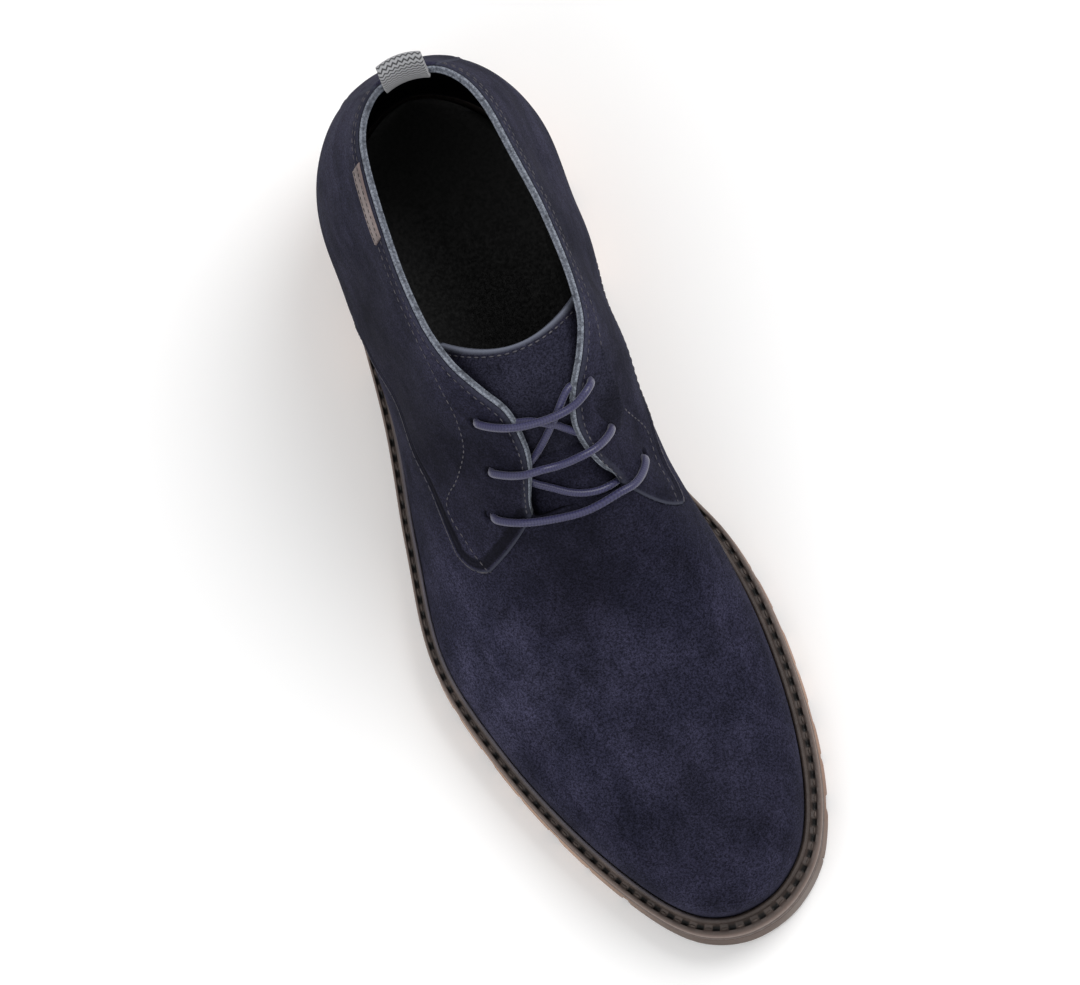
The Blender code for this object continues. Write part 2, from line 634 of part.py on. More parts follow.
def build_insole():
    made = slab("insole", (insole_inset, lambda t: along(SOLE_LEVELS, "midsole", t) + GAP),
                (insole_inset, lambda t: along(SOLE_LEVELS, "welt", t) + INSOLE_RISE), PARTS, "footbed")
    shade(made, 30)
    return made


# ---------------------------------------------------------------- upper and what is sewn to it

def build_upper():
    bm = bmesh.new()
    rings = [[]]
    for col in AROUND:
        t, x, z = upper_point(col.side, col.angle, 0.0)
        rings[0].append(bm.verts.new(place(t, x, z - RISER)))
    for number in range(UPPER_RINGS + 1):
        rise = number / UPPER_RINGS
        rings.append([bm.verts.new(place(*upper_point(col.side, col.angle, rise))) for col in AROUND])
    ring_faces(bm, rings)
    bmesh.ops.recalc_face_normals(bm, faces=bm.faces)
    made = add_object("upper", bm, PARTS, "navy_suede")
    shade(made, 50)
    thicken(made, WALL, -1, even=False)
    return made


def clear_of(tree, point, distance, inside):
    """Move a layout point until it lies at least this far from the upper's outer face, on one side of it."""
    sign = -1 if inside else 1
    for _ in range(4):
        here = place(*point)
        hit, normal, _, gap = tree.find_nearest(here)
        depth = (here - hit).dot(normal) * sign
        beside = gap > 0 and abs(depth) < BESIDE * gap      # over the opening, with nothing above or below
        if depth > distance * MM or (beside and gap > distance * MM):
            break
        moved = hit + normal * sign * (distance + 0.02) * MM
        if beside:
            moved = here + normal * sign * (distance * MM - depth)
        point = (moved.y / MM + CENTRE_T, moved.x / MM + CENTRE_X, moved.z / MM)
    return point


def build_tongue(tree):
    """Tongue: an arched sheet under the facings, joined under the vamp's throat edge."""
    bm = bmesh.new()
    rings = []
    for row in TONGUE:
        ring = []
        for i in range(TONGUE_COLUMNS):
            u = 2 * i / (TONGUE_COLUMNS - 1) - 1
            x = crown(row.t, "x") + u * row.half
            point = (row.t + row.back * u * u, x, row.z - row.drop * abs(u) ** 2.2)
            ring.append(bm.verts.new(place(*clear_of(tree, point, WALL + PATCH_GAP, inside=True))))
        rings.append(ring)
    ring_faces(bm, rings, closed=False)
    bmesh.ops.recalc_face_normals(bm, faces=bm.faces)
    if sum(face.normal.z for face in bm.faces) < 0:
        bmesh.ops.reverse_faces(bm, faces=bm.faces)
    made = add_object("tongue", bm, PARTS, "navy_suede")
    shade(made, 50)
    thicken(made, TONGUE_THICKNESS, -1)
    return made


def patch(name, rows, thickness, finish_name):
    """A thin piece lying on the upper: rows of (side, angle, rise), grown outward from a small gap."""
    bm = bmesh.new()
    rings = [[bm.verts.new(place(*off_upper(side, angle, rise, PATCH_GAP))) for side, angle, rise in row]
             for row in rows]
    ring_faces(bm, rings, closed=False)
    outward = Vector((0.0, 0.0, 0.0))
    for side, angle, rise in rows[len(rows) // 2]:
        t, x, z = upper_normal(side, angle, rise)
        outward += Vector((x, t, z))
    bmesh.ops.recalc_face_normals(bm, faces=bm.faces)
    if sum((face.normal.dot(outward) for face in bm.faces)) < 0:
        bmesh.ops.reverse_faces(bm, faces=bm.faces)
    made = add_object(name, bm, PARTS, finish_name)
    shade(made, 50)
    thicken(made, thickness, 1)
    return made


def find_angle(side, rise, t):
    """Station angle at which a ring of the upper's back half reaches t."""
    low, high = math.pi / 2, math.pi
    for _ in range(30):
        middle = (low + high) / 2
        if upper_point(side, middle, rise)[0] < t:
            low = middle
        else:
            high = middle
    return (low + high) / 2


def build_back_strip():
    steps = 6
    foot = upper_point(-1, math.pi, 0.0)[2]
    head = upper_point(-1, math.pi, 1.0)[2]
    levels = column(BACK_STRIP, "z")[::-1]
    edges = column(BACK_STRIP, "t")[::-1]
    rows = []
    for step in range(STRIP_ROWS + 1):
        z = levels[-1] + (levels[0] - levels[-1]) * step / STRIP_ROWS
        edge = smooth(levels, edges, z)
        rise = (z - foot) / (head - foot)
        lateral = find_angle(-1, rise, edge)
        medial = find_angle(1, rise, edge)
        line = [(-1, lateral + (math.pi - lateral) * i / steps, rise) for i in range(steps + 1)]
        line += [(1, medial + (math.pi - medial) * i / steps, rise) for i in range(steps - 1, -1, -1)]
        rows.append(line)
    return patch("back_strip", rows, STRIP_THICKNESS, "navy_suede")


def build_collar_tag():
    top, steps = 0.985, 5
    foot = upper_point(-1, find_angle(-1, top, TAG_FROM), 0.0)[2]
    fall = TAG_HEIGHT / (143.0 - foot)
    rows = []
    for rise in (top, top - fall / 2, top - fall):
        start, end = find_angle(-1, rise, TAG_FROM), find_angle(-1, rise, TAG_TO)
        rows.append([(-1, start + (end - start) * i / steps, rise) for i in range(steps + 1)])
    return patch("collar_tag", rows, TAG_THICKNESS, "tag_leather")


def build_pull_loop():
    """Webbing, bent round the inside of the collar's back."""
    across = 7
    bm = bmesh.new()
    rings = []
    for row in PULL_LOOP:
        ring = []
        for i in range(across):
            x = LOOP_WIDTH * (i / (across - 1) - 0.5)
            ring.append(bm.verts.new(place(row.t - x * x / (2 * LOOP_BEND), LOOP_CENTRE + x, row.z)))
        rings.append(ring)
    ring_faces(bm, rings, closed=False)
    bmesh.ops.recalc_face_normals(bm, faces=bm.faces)
    made = add_object("pull_loop", bm, PARTS, "webbing")
    shade(made, 60)
    thicken(made, LOOP_THICKNESS, 0)
    return made


# ---------------------------------------------------------------- laces

def build_lace_bar(number, row, tree):
    """One lace bar: from over one eyelet, across the facings and the opening, to the other."""
    clearance = LACE_DIAMETER / 2 + LACE_GAP
    points = []
    for i in range(LACE_STEPS + 1):
        s = 2.0 * i / LACE_STEPS - 1
        x_end, z_end = (row.lateral, row.lateral_z) if s < 0 else (row.medial, row.medial_z)
        share = abs(s)
        t = row.t + (row.middle_t - row.t) * (1 - share ** 2.2)
        x = row.middle_x + (x_end - row.middle_x) * share
        z = row.middle_z + (z_end - row.middle_z) * share ** 2
        points.append(clear_of(tree, (t, x, z), clearance, inside=False))
    curve = bpy.data.curves.new("lace_bar_%d" % number, "CURVE")
    curve.dimensions = "3D"
    curve.bevel_depth = LACE_DIAMETER / 2 * MM
    curve.bevel_resolution = 2
    curve.use_fill_caps = True
    spline = curve.splines.new("POLY")
    spline.points.add(LACE_STEPS)
    for target, point in zip(spline.points, points):
        target.co = (*place(*point), 1.0)
    made = bpy.data.objects.new("lace_bar_%d" % number, curve)
    PARTS.objects.link(made)
    curve.materials.append(MATERIALS["lace_cord"])
    return made


def outer_tree(upper):
    """Search tree of the upper's outer face."""
    bm = bmesh.new()
    bm.from_mesh(upper.data)
    tree = BVHTree.FromBMesh(bm)
    bm.free()
    return tree


for old in list(bpy.data.objects):
    bpy.data.objects.remove(old, do_unlink=True)
PARTS = new_collection("chukka_boot")
CUTTERS = new_collection("cutters")
MATERIALS = {name: finish(name) for name in FINISHES}

build_outsole()
build_midsole()
build_welt()
build_insole()
upper_object = build_upper()
upper_tree = outer_tree(upper_object)
build_tongue(upper_tree)
build_back_strip()
build_collar_tag()
build_pull_loop()
for bar_number, lace_row in enumerate(LACES, 1):
    build_lace_bar(bar_number, lace_row, upper_tree)
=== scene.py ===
import math
import random

import bmesh
import bpy
import numpy as np
from mathutils import Matrix, Vector
from mathutils.bvhtree import BVHTree


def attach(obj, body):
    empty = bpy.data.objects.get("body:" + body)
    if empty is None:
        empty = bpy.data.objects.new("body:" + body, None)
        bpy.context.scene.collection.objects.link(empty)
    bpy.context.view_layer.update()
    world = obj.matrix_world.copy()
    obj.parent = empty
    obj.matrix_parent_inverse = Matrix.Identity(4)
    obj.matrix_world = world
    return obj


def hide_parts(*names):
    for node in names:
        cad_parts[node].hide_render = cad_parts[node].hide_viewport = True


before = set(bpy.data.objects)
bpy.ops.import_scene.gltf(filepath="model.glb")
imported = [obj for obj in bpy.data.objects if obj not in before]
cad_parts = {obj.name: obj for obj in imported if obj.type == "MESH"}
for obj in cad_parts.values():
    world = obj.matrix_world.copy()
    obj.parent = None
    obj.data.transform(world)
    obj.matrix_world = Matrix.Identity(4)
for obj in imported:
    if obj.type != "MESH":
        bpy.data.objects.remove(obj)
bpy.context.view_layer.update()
mm = 0.001
pi = math.pi
dice = random.Random(11)

# Shape of the last, in millimetres: t from the toe tip to the heel, x to the medial side, z up
last = {"length": 306.0, "centreT": 153.15, "centreX": 0.25, "gap": 0.3, "weltStep": 0.7, "outsoleStep": 0.5,
        "wall": 2.2, "riser": 3.2, "vampSwell": 0.8, "swellLow": 0.6, "rimAdd": 0.9, "toeAdd": 0.5,
        "fade": {-1: (118.0, 190.0), 1: (98.0, 160.0)}}
# t, x and distance from the welt's edge to the upper
toeTip = (0, 12, 5.0)
heelBack = (306, 1.5, 4.2)
lateralEdge = [
    (5, -4.5, 4.6), (20, -18.5, 4.0), (50, -35.5, 3.6), (85, -49, 3.4), (120, -56.5, 3.4), (160, -51.5, 3.6),
    (200, -44, 3.6), (240, -40, 3.4), (272, -36.5, 3.4), (296, -21.5, 4.0)]
medialEdge = [
    (5, 30, 4.8), (20, 44.5, 4.6), (50, 54, 4.4), (92, 56.5, 4.3), (125, 52, 4.2), (152, 41.5, 3.6),
    (185, 36.8, 3.4), (235, 40, 3.4), (272, 38.5, 3.4), (296, 23.5, 4.0)]
# t, top of outsole, midsole and welt
soleLevels = np.array([
    (0, 11.4, 14.9, 18.9), (41, 9.9, 13.6, 17.2), (73, 10.4, 13.9, 18.0), (106, 12.6, 16.2, 19.8),
    (147, 15.8, 19.3, 23.1), (176, 19.6, 22.9, 26.7), (209, 25.5, 28.7, 32.1), (229, 27.5, 31.0, 34.3),
    (278, 31.0, 34.4, 38.0), (306, 31.4, 34.8, 38.4)])
# t, z and x of the vamp's centre line
crownLine = np.array([
    (6.6, 22.4, 13), (7.9, 31.6, 13), (11.8, 35.8, 13), (16.1, 39.0, 13), (24.3, 43.2, 13), (32.5, 46.0, 13),
    (41, 46.9, 13), (57, 46.8, 12.8), (73, 49.2, 12.5), (89, 54.6, 12), (106, 63.8, 11.6), (122, 76.8, 11.3),
    (131, 84.8, 11.1), (141, 94.4, 11), (151, 108.5, 10.5), (163, 124, 10.3), (180, 133, 10)])
# t and fullness of the sections, lateral and medial
squareness = np.array([
    (0, 2.3, 2.3), (50, 2.2, 2.3), (95, 1.75, 2.45), (125, 1.42, 2.6), (140, 1.35, 2.5), (180, 1.35, 2.4)])
# foot, then t, lateral x, medial x, z, lateral and medial belly at the top edge
topEdge = np.array([
    (0, 139.5, 11.0, 11.0, 92.9, 0, 5), (45, 139.5, 3.2, 18.6, 92.4, 0, 5), (85, 139.7, -3.0, 23.6, 91.0, 0, 5),
    (107, 141.0, -5.6, 25.2, 91.8, 0.2, 5.4), (119, 143.8, -5.2, 24.4, 96.6, 0.4, 5.8),
    (129, 148.8, -2.8, 21.2, 105.6, 0.7, 6.4), (138, 157.0, 0.2, 18.6, 116.4, 1, 7.6),
    (148, 167.3, -0.6, 22.1, 125.3, 1.2, 8.4), (159, 177.0, -6.4, 28.4, 130.2, 1.5, 8.2),
    (174, 190.0, -13.4, 33.4, 133.8, 2, 7.8), (192, 205.0, -16.9, 34.6, 136.8, 3, 7.6),
    (213, 222.0, -17.9, 33.9, 140.2, 5, 7.2), (240, 243.0, -17.2, 31.2, 143.8, 8.3, 7.6),
    (271, 262.5, -15.2, 28.2, 144.9, 9.2, 8.1), (290, 273.5, -10.2, 23.4, 145.0, 8.8, 8.4),
    (303, 279.8, -2.2, 15.6, 145.1, 7.0, 7.2), (306, 281.5, 6.6, 6.6, 145.1, 5.9, 5.9)])


def curveAt(keys, values, at):
    # cubic through a short table that never swings past its values
    keys, values = np.asarray(keys, float), np.asarray(values, float)
    steps, rises = np.diff(keys), np.diff(values) / np.diff(keys)
    slopes = np.zeros(len(keys))
    slopes[0], slopes[-1] = rises[0], rises[-1]
    low, high = 2 * steps[1:] + steps[:-1], steps[1:] + 2 * steps[:-1]
    same = rises[:-1] * rises[1:] > 0
    before, after = np.where(same, rises[:-1], 1), np.where(same, rises[1:], 1)
    slopes[1:-1] = np.where(same, (low + high) / (low / before + high / after), 0)
    at = np.clip(at, keys[0], keys[-1])
    i = np.clip(np.searchsorted(keys, at, side="right") - 1, 0, len(steps) - 1)
    s = (at - keys[i]) / steps[i]
    return (values[i] * (1 + 2 * s) * (1 - s) ** 2 + values[i + 1] * s * s * (3 - 2 * s)
            + steps[i] * (slopes[i] * s * (1 - s) ** 2 - slopes[i + 1] * s * s * (1 - s)))


def softStep(start, end, value):
    s = np.clip((value - start) / (end - start), 0, 1)
    return s * s * (3 - 2 * s)


def edgeLoop(rows, steps=24):
    rows = np.array(rows, float)
    count = len(rows)
    spans = np.hypot(*(np.roll(rows, -1, 0) - rows)[:, :2].T)
    points = []
    for i in range(count):
        before, a, b, after = (rows[(i + k) % count] for k in (-1, 0, 1, 2))
        slopeA = (b - before) / (spans[i] + spans[i - 1])
        slopeB = (after - a) / (spans[i] + spans[(i + 1) % count])
        for s in np.arange(steps) / steps:
            points.append(a * (1 + 2 * s) * (1 - s) ** 2 + b * s * s * (3 - 2 * s)
                          + spans[i] * (slopeA * s * (1 - s) ** 2 - slopeB * s * s * (1 - s)))
    return np.array(points)


def edgeHalves():
    loop = edgeLoop([toeTip] + lateralEdge + [heelBack] + medialEdge[::-1])
    run = np.roll(loop, -1, 0) - np.roll(loop, 1, 0)
    length = np.hypot(run[:, 0], run[:, 1])
    full = np.column_stack([loop, -run[:, 1] / length, run[:, 0] / length])
    heel = (len(lateralEdge) + 1) * 24
    return {-1: full[:heel + 1], 1: np.vstack([full[:1], full[:heel - 1:-1]])}


halves = edgeHalves()


def footOf(phi):
    # t at a signed angle, 0 at the toe and negative on the lateral side
    return last["length"] / 2 * (1 - np.cos(phi))


def edgeAt(phi):
    # tread edge at a signed angle: t, x, rim and inward normal
    phi = np.asarray(phi, float)
    t = footOf(phi)
    found = []
    for side in (-1, 1):
        half = halves[side]
        i = np.clip(np.searchsorted(np.maximum.accumulate(half[1:, 0]), t), 0, len(half) - 2)
        s = np.clip((t - half[i, 0]) / np.maximum(half[i + 1, 0] - half[i, 0], 1e-9), 0, 1)[..., None]
        found.append(half[i] * (1 - s) + half[i + 1] * s)
    edge = np.where((phi < 0)[..., None], found[0], found[1])
    edge[..., 3:] /= np.linalg.norm(edge[..., 3:], axis=-1)[..., None]
    return edge


def insetBy(edge, distance):
    return edge[..., 0] + edge[..., 3] * distance, edge[..., 1] + edge[..., 4] * distance


def footInset(edge):
    slim = last["toeAdd"] * (1 - softStep(110, 170, edge[..., 0]))
    return last["weltStep"] + last["rimAdd"] + edge[..., 2] + slim


def levelAt(t, column):
    return curveAt(soleLevels[:, 0], soleLevels[:, column], t)


def crownAt(t, column):
    start = crownLine[0, 0]
    return curveAt(np.sqrt(crownLine[:, 0] - start), crownLine[:, column], np.sqrt(np.maximum(0, t - start)))


def footTables():
    made = {}
    for side in (-1, 1):
        edge = edgeAt(side * np.linspace(1e-6, pi, 721))
        made[side] = insetBy(edge, footInset(edge))
    return made


feet = footTables()


def footX(side, t):
    footT, x = feet[side]
    return np.interp(np.sqrt(np.maximum(0, t - footT[0])), np.sqrt(np.maximum(0, footT - footT[0])), x)


def vampHeight(t, x):
    base = levelAt(t, 3) + last["gap"] + last["riser"]
    centre = crownAt(t, 2)
    lateral = x < centre
    half = np.abs(np.where(lateral, footX(-1, t), footX(1, t)) - centre)
    share = np.minimum(1, np.abs(x - centre) / np.maximum(half, 1e-6))
    power = np.where(lateral, curveAt(squareness[:, 0], squareness[:, 1], t),
                     curveAt(squareness[:, 0], squareness[:, 2], t))
    return base + np.maximum(0, crownAt(t, 1) - base) * (1 - share ** power) ** (1 / power)


def angleOf(t):
    return np.arccos(1 - 2 * np.clip(np.asarray(t, float) / last["length"], 0, 1))


def upperPoints(phi, rise):
    # outer face of the upper: rise is 0 behind the welt's rim and 1 at the top edge
    edge = edgeAt(phi)
    footT, footXs = insetBy(edge, footInset(edge))
    keys, angle, lateral = angleOf(topEdge[:, 0]), np.abs(phi), phi < 0
    headT, headZ = curveAt(keys, topEdge[:, 1], angle), curveAt(keys, topEdge[:, 4], angle)
    headX = np.where(lateral, curveAt(keys, topEdge[:, 2], angle), curveAt(keys, topEdge[:, 3], angle))
    belly = np.where(lateral, curveAt(keys, topEdge[:, 5], angle), curveAt(keys, topEdge[:, 6], angle))
    footZ = levelAt(footT, 3) + last["gap"] + last["riser"]
    swell = np.sin(pi * rise ** last["swellLow"])
    share = 1 - np.cos(rise * pi / 2)
    t, x = footT + (headT - footT) * share, footXs + (headX - footXs) * share
    settle = (headZ - vampHeight(headT, headX)) * share ** 2
    out = last["vampSwell"] * swell
    front = np.stack([t - edge[..., 3] * out, x - edge[..., 4] * out, vampHeight(t, x) + settle], -1)
    out = belly * swell
    back = np.stack([footT + (headT - footT) * rise - edge[..., 3] * out,
                     footXs + (headX - footXs) * rise - edge[..., 4] * out, footZ + (headZ - footZ) * rise], -1)
    fade = last["fade"]
    weight = np.where(lateral, softStep(*fade[-1], edge[..., 0]), softStep(*fade[1], edge[..., 0]))[..., None]
    return front + (back - front) * weight


def toWorld(t, x, z):
    return np.stack(np.broadcast_arrays(x - last["centreX"], t - last["centreT"], z), -1)


# Soft creases of the upper: side, then t and z of both ends, half width and depth
creases = [
    (1, 158, 42, 163, 96, 9.0, 0.9), (1, 176, 36, 172, 118, 8.0, 0.7), (1, 206, 60, 214, 128, 10.0, 0.8),
    (1, 143, 60, 158, 82, 5.0, 0.5), (1, 250, 60, 246, 120, 12.0, 0.8), (-1, 170, 44, 168, 104, 9.0, 0.7),
    (-1, 196, 60, 204, 124, 11.0, 0.8), (-1, 236, 56, 232, 120, 12.0, 0.9), (-1, 146, 62, 160, 88, 5.0, 0.5),
    (1, 96, 44, 122, 60, 8.0, 0.45), (-1, 100, 38, 124, 56, 8.0, 0.45), (1, 268, 70, 262, 110, 7.0, 0.5),
    (-1, 266, 66, 262, 112, 7.0, 0.5)]
gridSteps = (1440, 128)


def creased(points, normals, phi):
    # troughs with a low ridge beside them, pushed along the normal
    y, z = points[..., 1] + last["centreT"], points[..., 2]
    push = np.zeros(y.shape)
    for side, startT, startZ, endT, endZ, wide, shadeAndDirt in creases:
        along = np.array([endT - startT, endZ - startZ], float)
        length = np.linalg.norm(along)
        along /= length
        run = (y - startT) * along[0] + (z - startZ) * along[1]
        across = -(y - startT) * along[1] + (z - startZ) * along[0]
        fade = softStep(-wide, wide, run) * softStep(length + wide, length - wide, run)
        shape = -np.exp(-(across / wide) ** 2) + 0.7 * np.exp(-((across - 1.9 * wide) / wide) ** 2)
        push += shadeAndDirt * fade * shape * (np.sign(phi) == side)
    return points + normals * push[..., None]


def buildGrid():
    phi = np.linspace(-pi, pi, gridSteps[0] + 1)[:, None]
    rise = np.linspace(0, 1, gridSteps[1] + 1)[None, :]
    raw = upperPoints(*np.broadcast_arrays(phi, rise))
    points = toWorld(raw[..., 0], raw[..., 1], raw[..., 2])
    kernel = np.exp(-0.5 * (np.arange(-9, 10) / 3.5) ** 2)
    kernel /= kernel.sum()
    ring = points[:-1]
    ring = sum(weight * np.roll(ring, k, 0) for k, weight in zip(range(-9, 10), kernel))
    points = np.vstack([ring, ring[:1]])
    normals = gridNormals(points)
    points = creased(points, normals, np.broadcast_to(phi, raw.shape[:2]))
    return points, gridNormals(points)


def gridNormals(points):
    ring = points[:-1]
    around = np.roll(ring, -2, 0) - np.roll(ring, 2, 0)
    up = np.gradient(ring, axis=1)
    normals = np.cross(around, up)
    normals /= np.linalg.norm(normals, axis=-1)[..., None]
    normals = sum(np.roll(normals, k, 0) for k in range(-4, 5))
    normals /= np.linalg.norm(normals, axis=-1)[..., None]
    return np.vstack([normals, normals[:1]])


gridPoints, gridNormal = buildGrid()
print("last ready")


def readGrid(grid, phi, rise):
    u = np.clip((np.asarray(phi, float) + pi) / (2 * pi), 0, 1) * gridSteps[0]
    v = np.clip(rise, 0, 1) * gridSteps[1]
    i, j = np.minimum(u.astype(int), gridSteps[0] - 1), np.minimum(v.astype(int), gridSteps[1] - 1)
    a, b = (u - i)[..., None], (v - j)[..., None]
    return ((grid[i, j] * (1 - a) + grid[i + 1, j] * a) * (1 - b)
            + (grid[i, j + 1] * (1 - a) + grid[i + 1, j + 1] * a) * b)


def onUpper(phi, rise, out=0.0):
    # world millimetres on the upper, this far out from its face
    phi, rise = np.broadcast_arrays(np.asarray(phi, float), np.asarray(rise, float))
    normals = readGrid(gridNormal, phi, rise)
    normals /= np.linalg.norm(normals, axis=-1)[..., None]
    return readGrid(gridPoints, phi, rise) + normals * np.asarray(out)[..., None], normals


def findOnUpper(side, t, z):
    # angle and rise of the points seen at t and z from one side
    half = gridSteps[0] // 2
    rows = slice(0, half + 1) if side < 0 else slice(half, None)
    phis = np.linspace(-pi, pi, gridSteps[0] + 1)[rows]
    rises = np.linspace(0, 1, gridSteps[1] + 1)
    patch = gridPoints[rows]
    found = []
    for oneT, oneZ in zip(np.atleast_1d(t), np.atleast_1d(z)):
        distance = (patch[..., 1] + last["centreT"] - oneT) ** 2 + (patch[..., 2] - oneZ) ** 2
        i, j = np.unravel_index(np.argmin(distance), distance.shape)
        finePhi = phis[i] + np.linspace(-1, 1, 9)[:, None] * 2 * pi / gridSteps[0]
        fineRise = rises[j] + np.linspace(-1, 1, 9)[None, :] / gridSteps[1]
        fine = readGrid(gridPoints, *np.broadcast_arrays(finePhi, fineRise))
        distance = (fine[..., 1] + last["centreT"] - oneT) ** 2 + (fine[..., 2] - oneZ) ** 2
        a, b = np.unravel_index(np.argmin(distance), distance.shape)
        found.append((finePhi[a, 0], np.clip(fineRise[0, b], 0, 1)))
    return np.array(found)


def smoothLine(points, steps):
    # Catmull-Rom curve through the points, resampled evenly
    points = np.array(points, float)
    padded = np.vstack([2 * points[0] - points[1], points, 2 * points[-1] - points[-2]])
    dense = []
    for i in range(1, len(padded) - 2):
        a, b, c, d = padded[i - 1:i + 3]
        for s in np.linspace(0, 1, 24, endpoint=False):
            dense.append(0.5 * (2 * b + (c - a) * s + (2 * a - 5 * b + 4 * c - d) * s ** 2
                                + (3 * b - a - 3 * c + d) * s ** 3))
    return resample(np.array(dense + [points[-1]]), steps)


def runsOf(line):
    # length from the start of a line to each of its points
    return np.concatenate([[0], np.cumsum(np.linalg.norm(np.diff(line, axis=0), axis=1))])


def resample(line, steps):
    run = runsOf(line)
    at = np.linspace(0, run[-1], steps)
    return np.stack([np.interp(at, run, line[:, k]) for k in range(line.shape[1])], -1)


def lineLength(line):
    return float(np.linalg.norm(np.diff(line, axis=0), axis=1).sum())


# Materials: shared effects are node groups, and each finish has its own values

def newGroup(name, inputs, outputs):
    group = bpy.data.node_groups.new(name, "ShaderNodeTree")
    for label, kind, value in inputs:
        socket = group.interface.new_socket(label, in_out="INPUT", socket_type=kind)
        socket.default_value = value
    for label, kind in outputs:
        group.interface.new_socket(label, in_out="OUTPUT", socket_type=kind)
    return group, group.nodes.new("NodeGroupInput").outputs, group.nodes.new("NodeGroupOutput").inputs


def giveOut(group, out, **values):
    for label, socket in values.items():
        group.links.new(socket, out[label])


def addNode(tree, kind, values=None, **options):
    node = tree.nodes.new(kind)
    for key, value in options.items():
        setattr(node, key, value)
    for key, value in (values or {}).items():
        if isinstance(value, bpy.types.NodeSocket):
            tree.links.new(value, node.inputs[key])
        else:
            node.inputs[key].default_value = value
    return node


def maths(tree, operation, *values):
    return addNode(tree, "ShaderNodeMath", dict(enumerate(values)), operation=operation).outputs[0]


def times(tree, a, b):
    return maths(tree, "MULTIPLY", a, b)


def plus(tree, a, b):
    return maths(tree, "ADD", a, b)


def mixed(tree, factor, a, b, blend="MIX"):
    node = addNode(tree, "ShaderNodeMix", {0: factor, 6: a, 7: b}, data_type="RGBA", blend_type=blend)
    return node.outputs[2]


def noise(tree, vector, scale, detail=3.0, rough=0.55, stretch=None):
    if stretch:
        vector = addNode(tree, "ShaderNodeMapping", {"Vector": vector, "Scale": stretch}).outputs[0]
    return addNode(tree, "ShaderNodeTexNoise",
                   {"Vector": vector, "Scale": scale, "Detail": detail, "Roughness": rough}).outputs[0]


def ramped(tree, value, low, high, outLow=0.0, outHigh=1.0):
    return addNode(tree, "ShaderNodeMapRange",
                   {0: value, 1: low, 2: high, 3: outLow, 4: outHigh}, clamp=True,
                   interpolation_type="SMOOTHSTEP").outputs[0]


def colour(r, g, b):
    # from the 0 to 255 values of a paint chart
    return tuple(c / 255 / 12.92 if c < 11 else ((c / 255 + 0.055) / 1.055) ** 2.4 for c in (r, g, b)) + (1.0,)


def suedeGroup():
    # brushed nap: slow clouds, streaks where it was stroked, and fine grain
    group, given, out = newGroup("suedeNap", [
        ("Vector", "NodeSocketVector", (0, 0, 0)), ("Base", "NodeSocketColor", colour(38, 38, 56)),
        ("Light", "NodeSocketColor", colour(64, 64, 86)), ("Dark", "NodeSocketColor", colour(26, 26, 33)),
        ("Cloud", "NodeSocketFloat", 38.0), ("Grain", "NodeSocketFloat", 1.0)],
        [("Colour", "NodeSocketColor"), ("Height", "NodeSocketFloat"), ("Roughness", "NodeSocketFloat")])
    vector = given["Vector"]
    cloud = noise(group, vector, given["Cloud"], 4.0, 0.6)
    patches = noise(group, vector, times(group, given["Cloud"], 2.6), 3.0, 0.6)
    streak = noise(group, vector, 150.0, 3.0, 0.6, (1.0, 0.35, 1.0))
    grain = noise(group, vector, 1300.0, 2.0, 0.7)
    fibre = noise(group, vector, 2600.0, 2.0, 0.6)
    lift = plus(group, times(group, ramped(group, cloud, 0.38, 0.68), 0.62),
                times(group, ramped(group, streak, 0.42, 0.7), 0.38))
    lit = mixed(group, times(group, lift, 0.85), given["Base"], given["Light"])
    toned = mixed(group, times(group, ramped(group, patches, 0.46, 0.8), 0.5), lit, given["Dark"])
    speck = times(group, ramped(group, grain, 0.3, 0.7, 0.62, 1.42), ramped(group, fibre, 0.3, 0.7, 0.85, 1.18))
    speck = plus(group, 1.0, times(group, maths(group, "SUBTRACT", speck, 1.0), given["Grain"]))
    flecks = addNode(group, "ShaderNodeCombineColor", {0: speck, 1: speck, 2: speck}).outputs[0]
    height = plus(group, times(group, grain, 0.55), times(group, fibre, 0.25))
    giveOut(group, out, Colour=mixed(group, 1.0, toned, flecks, "MULTIPLY"),
            Height=plus(group, height, times(group, streak, 0.5)),
            Roughness=ramped(group, patches, 0.3, 0.8, 0.84, 0.98))
    return group


def leatherGroup():
    # pores and fine wrinkles with rubbed high spots
    group, given, out = newGroup("leatherGrain", [
        ("Vector", "NodeSocketVector", (0, 0, 0)), ("Base", "NodeSocketColor", colour(90, 78, 72)),
        ("Worn", "NodeSocketColor", colour(130, 115, 108)), ("Scale", "NodeSocketFloat", 700.0)],
        [("Colour", "NodeSocketColor"), ("Height", "NodeSocketFloat"), ("Roughness", "NodeSocketFloat")])
    vector, scale = given["Vector"], given["Scale"]
    cell = addNode(group, "ShaderNodeTexVoronoi", {"Vector": vector, "Scale": scale}).outputs["Distance"]
    grain = noise(group, vector, scale, 4.0, 0.6)
    slow = noise(group, vector, times(group, scale, 0.09), 3.0)
    worn = times(group, ramped(group, slow, 0.42, 0.75), ramped(group, grain, 0.35, 0.65, 0.35, 1.0))
    giveOut(group, out, Colour=mixed(group, worn, given["Base"], given["Worn"]),
            Height=plus(group, times(group, cell, 0.4), grain), Roughness=ramped(group, grain, 0.3, 0.7, 0.5, 0.72))
    return group


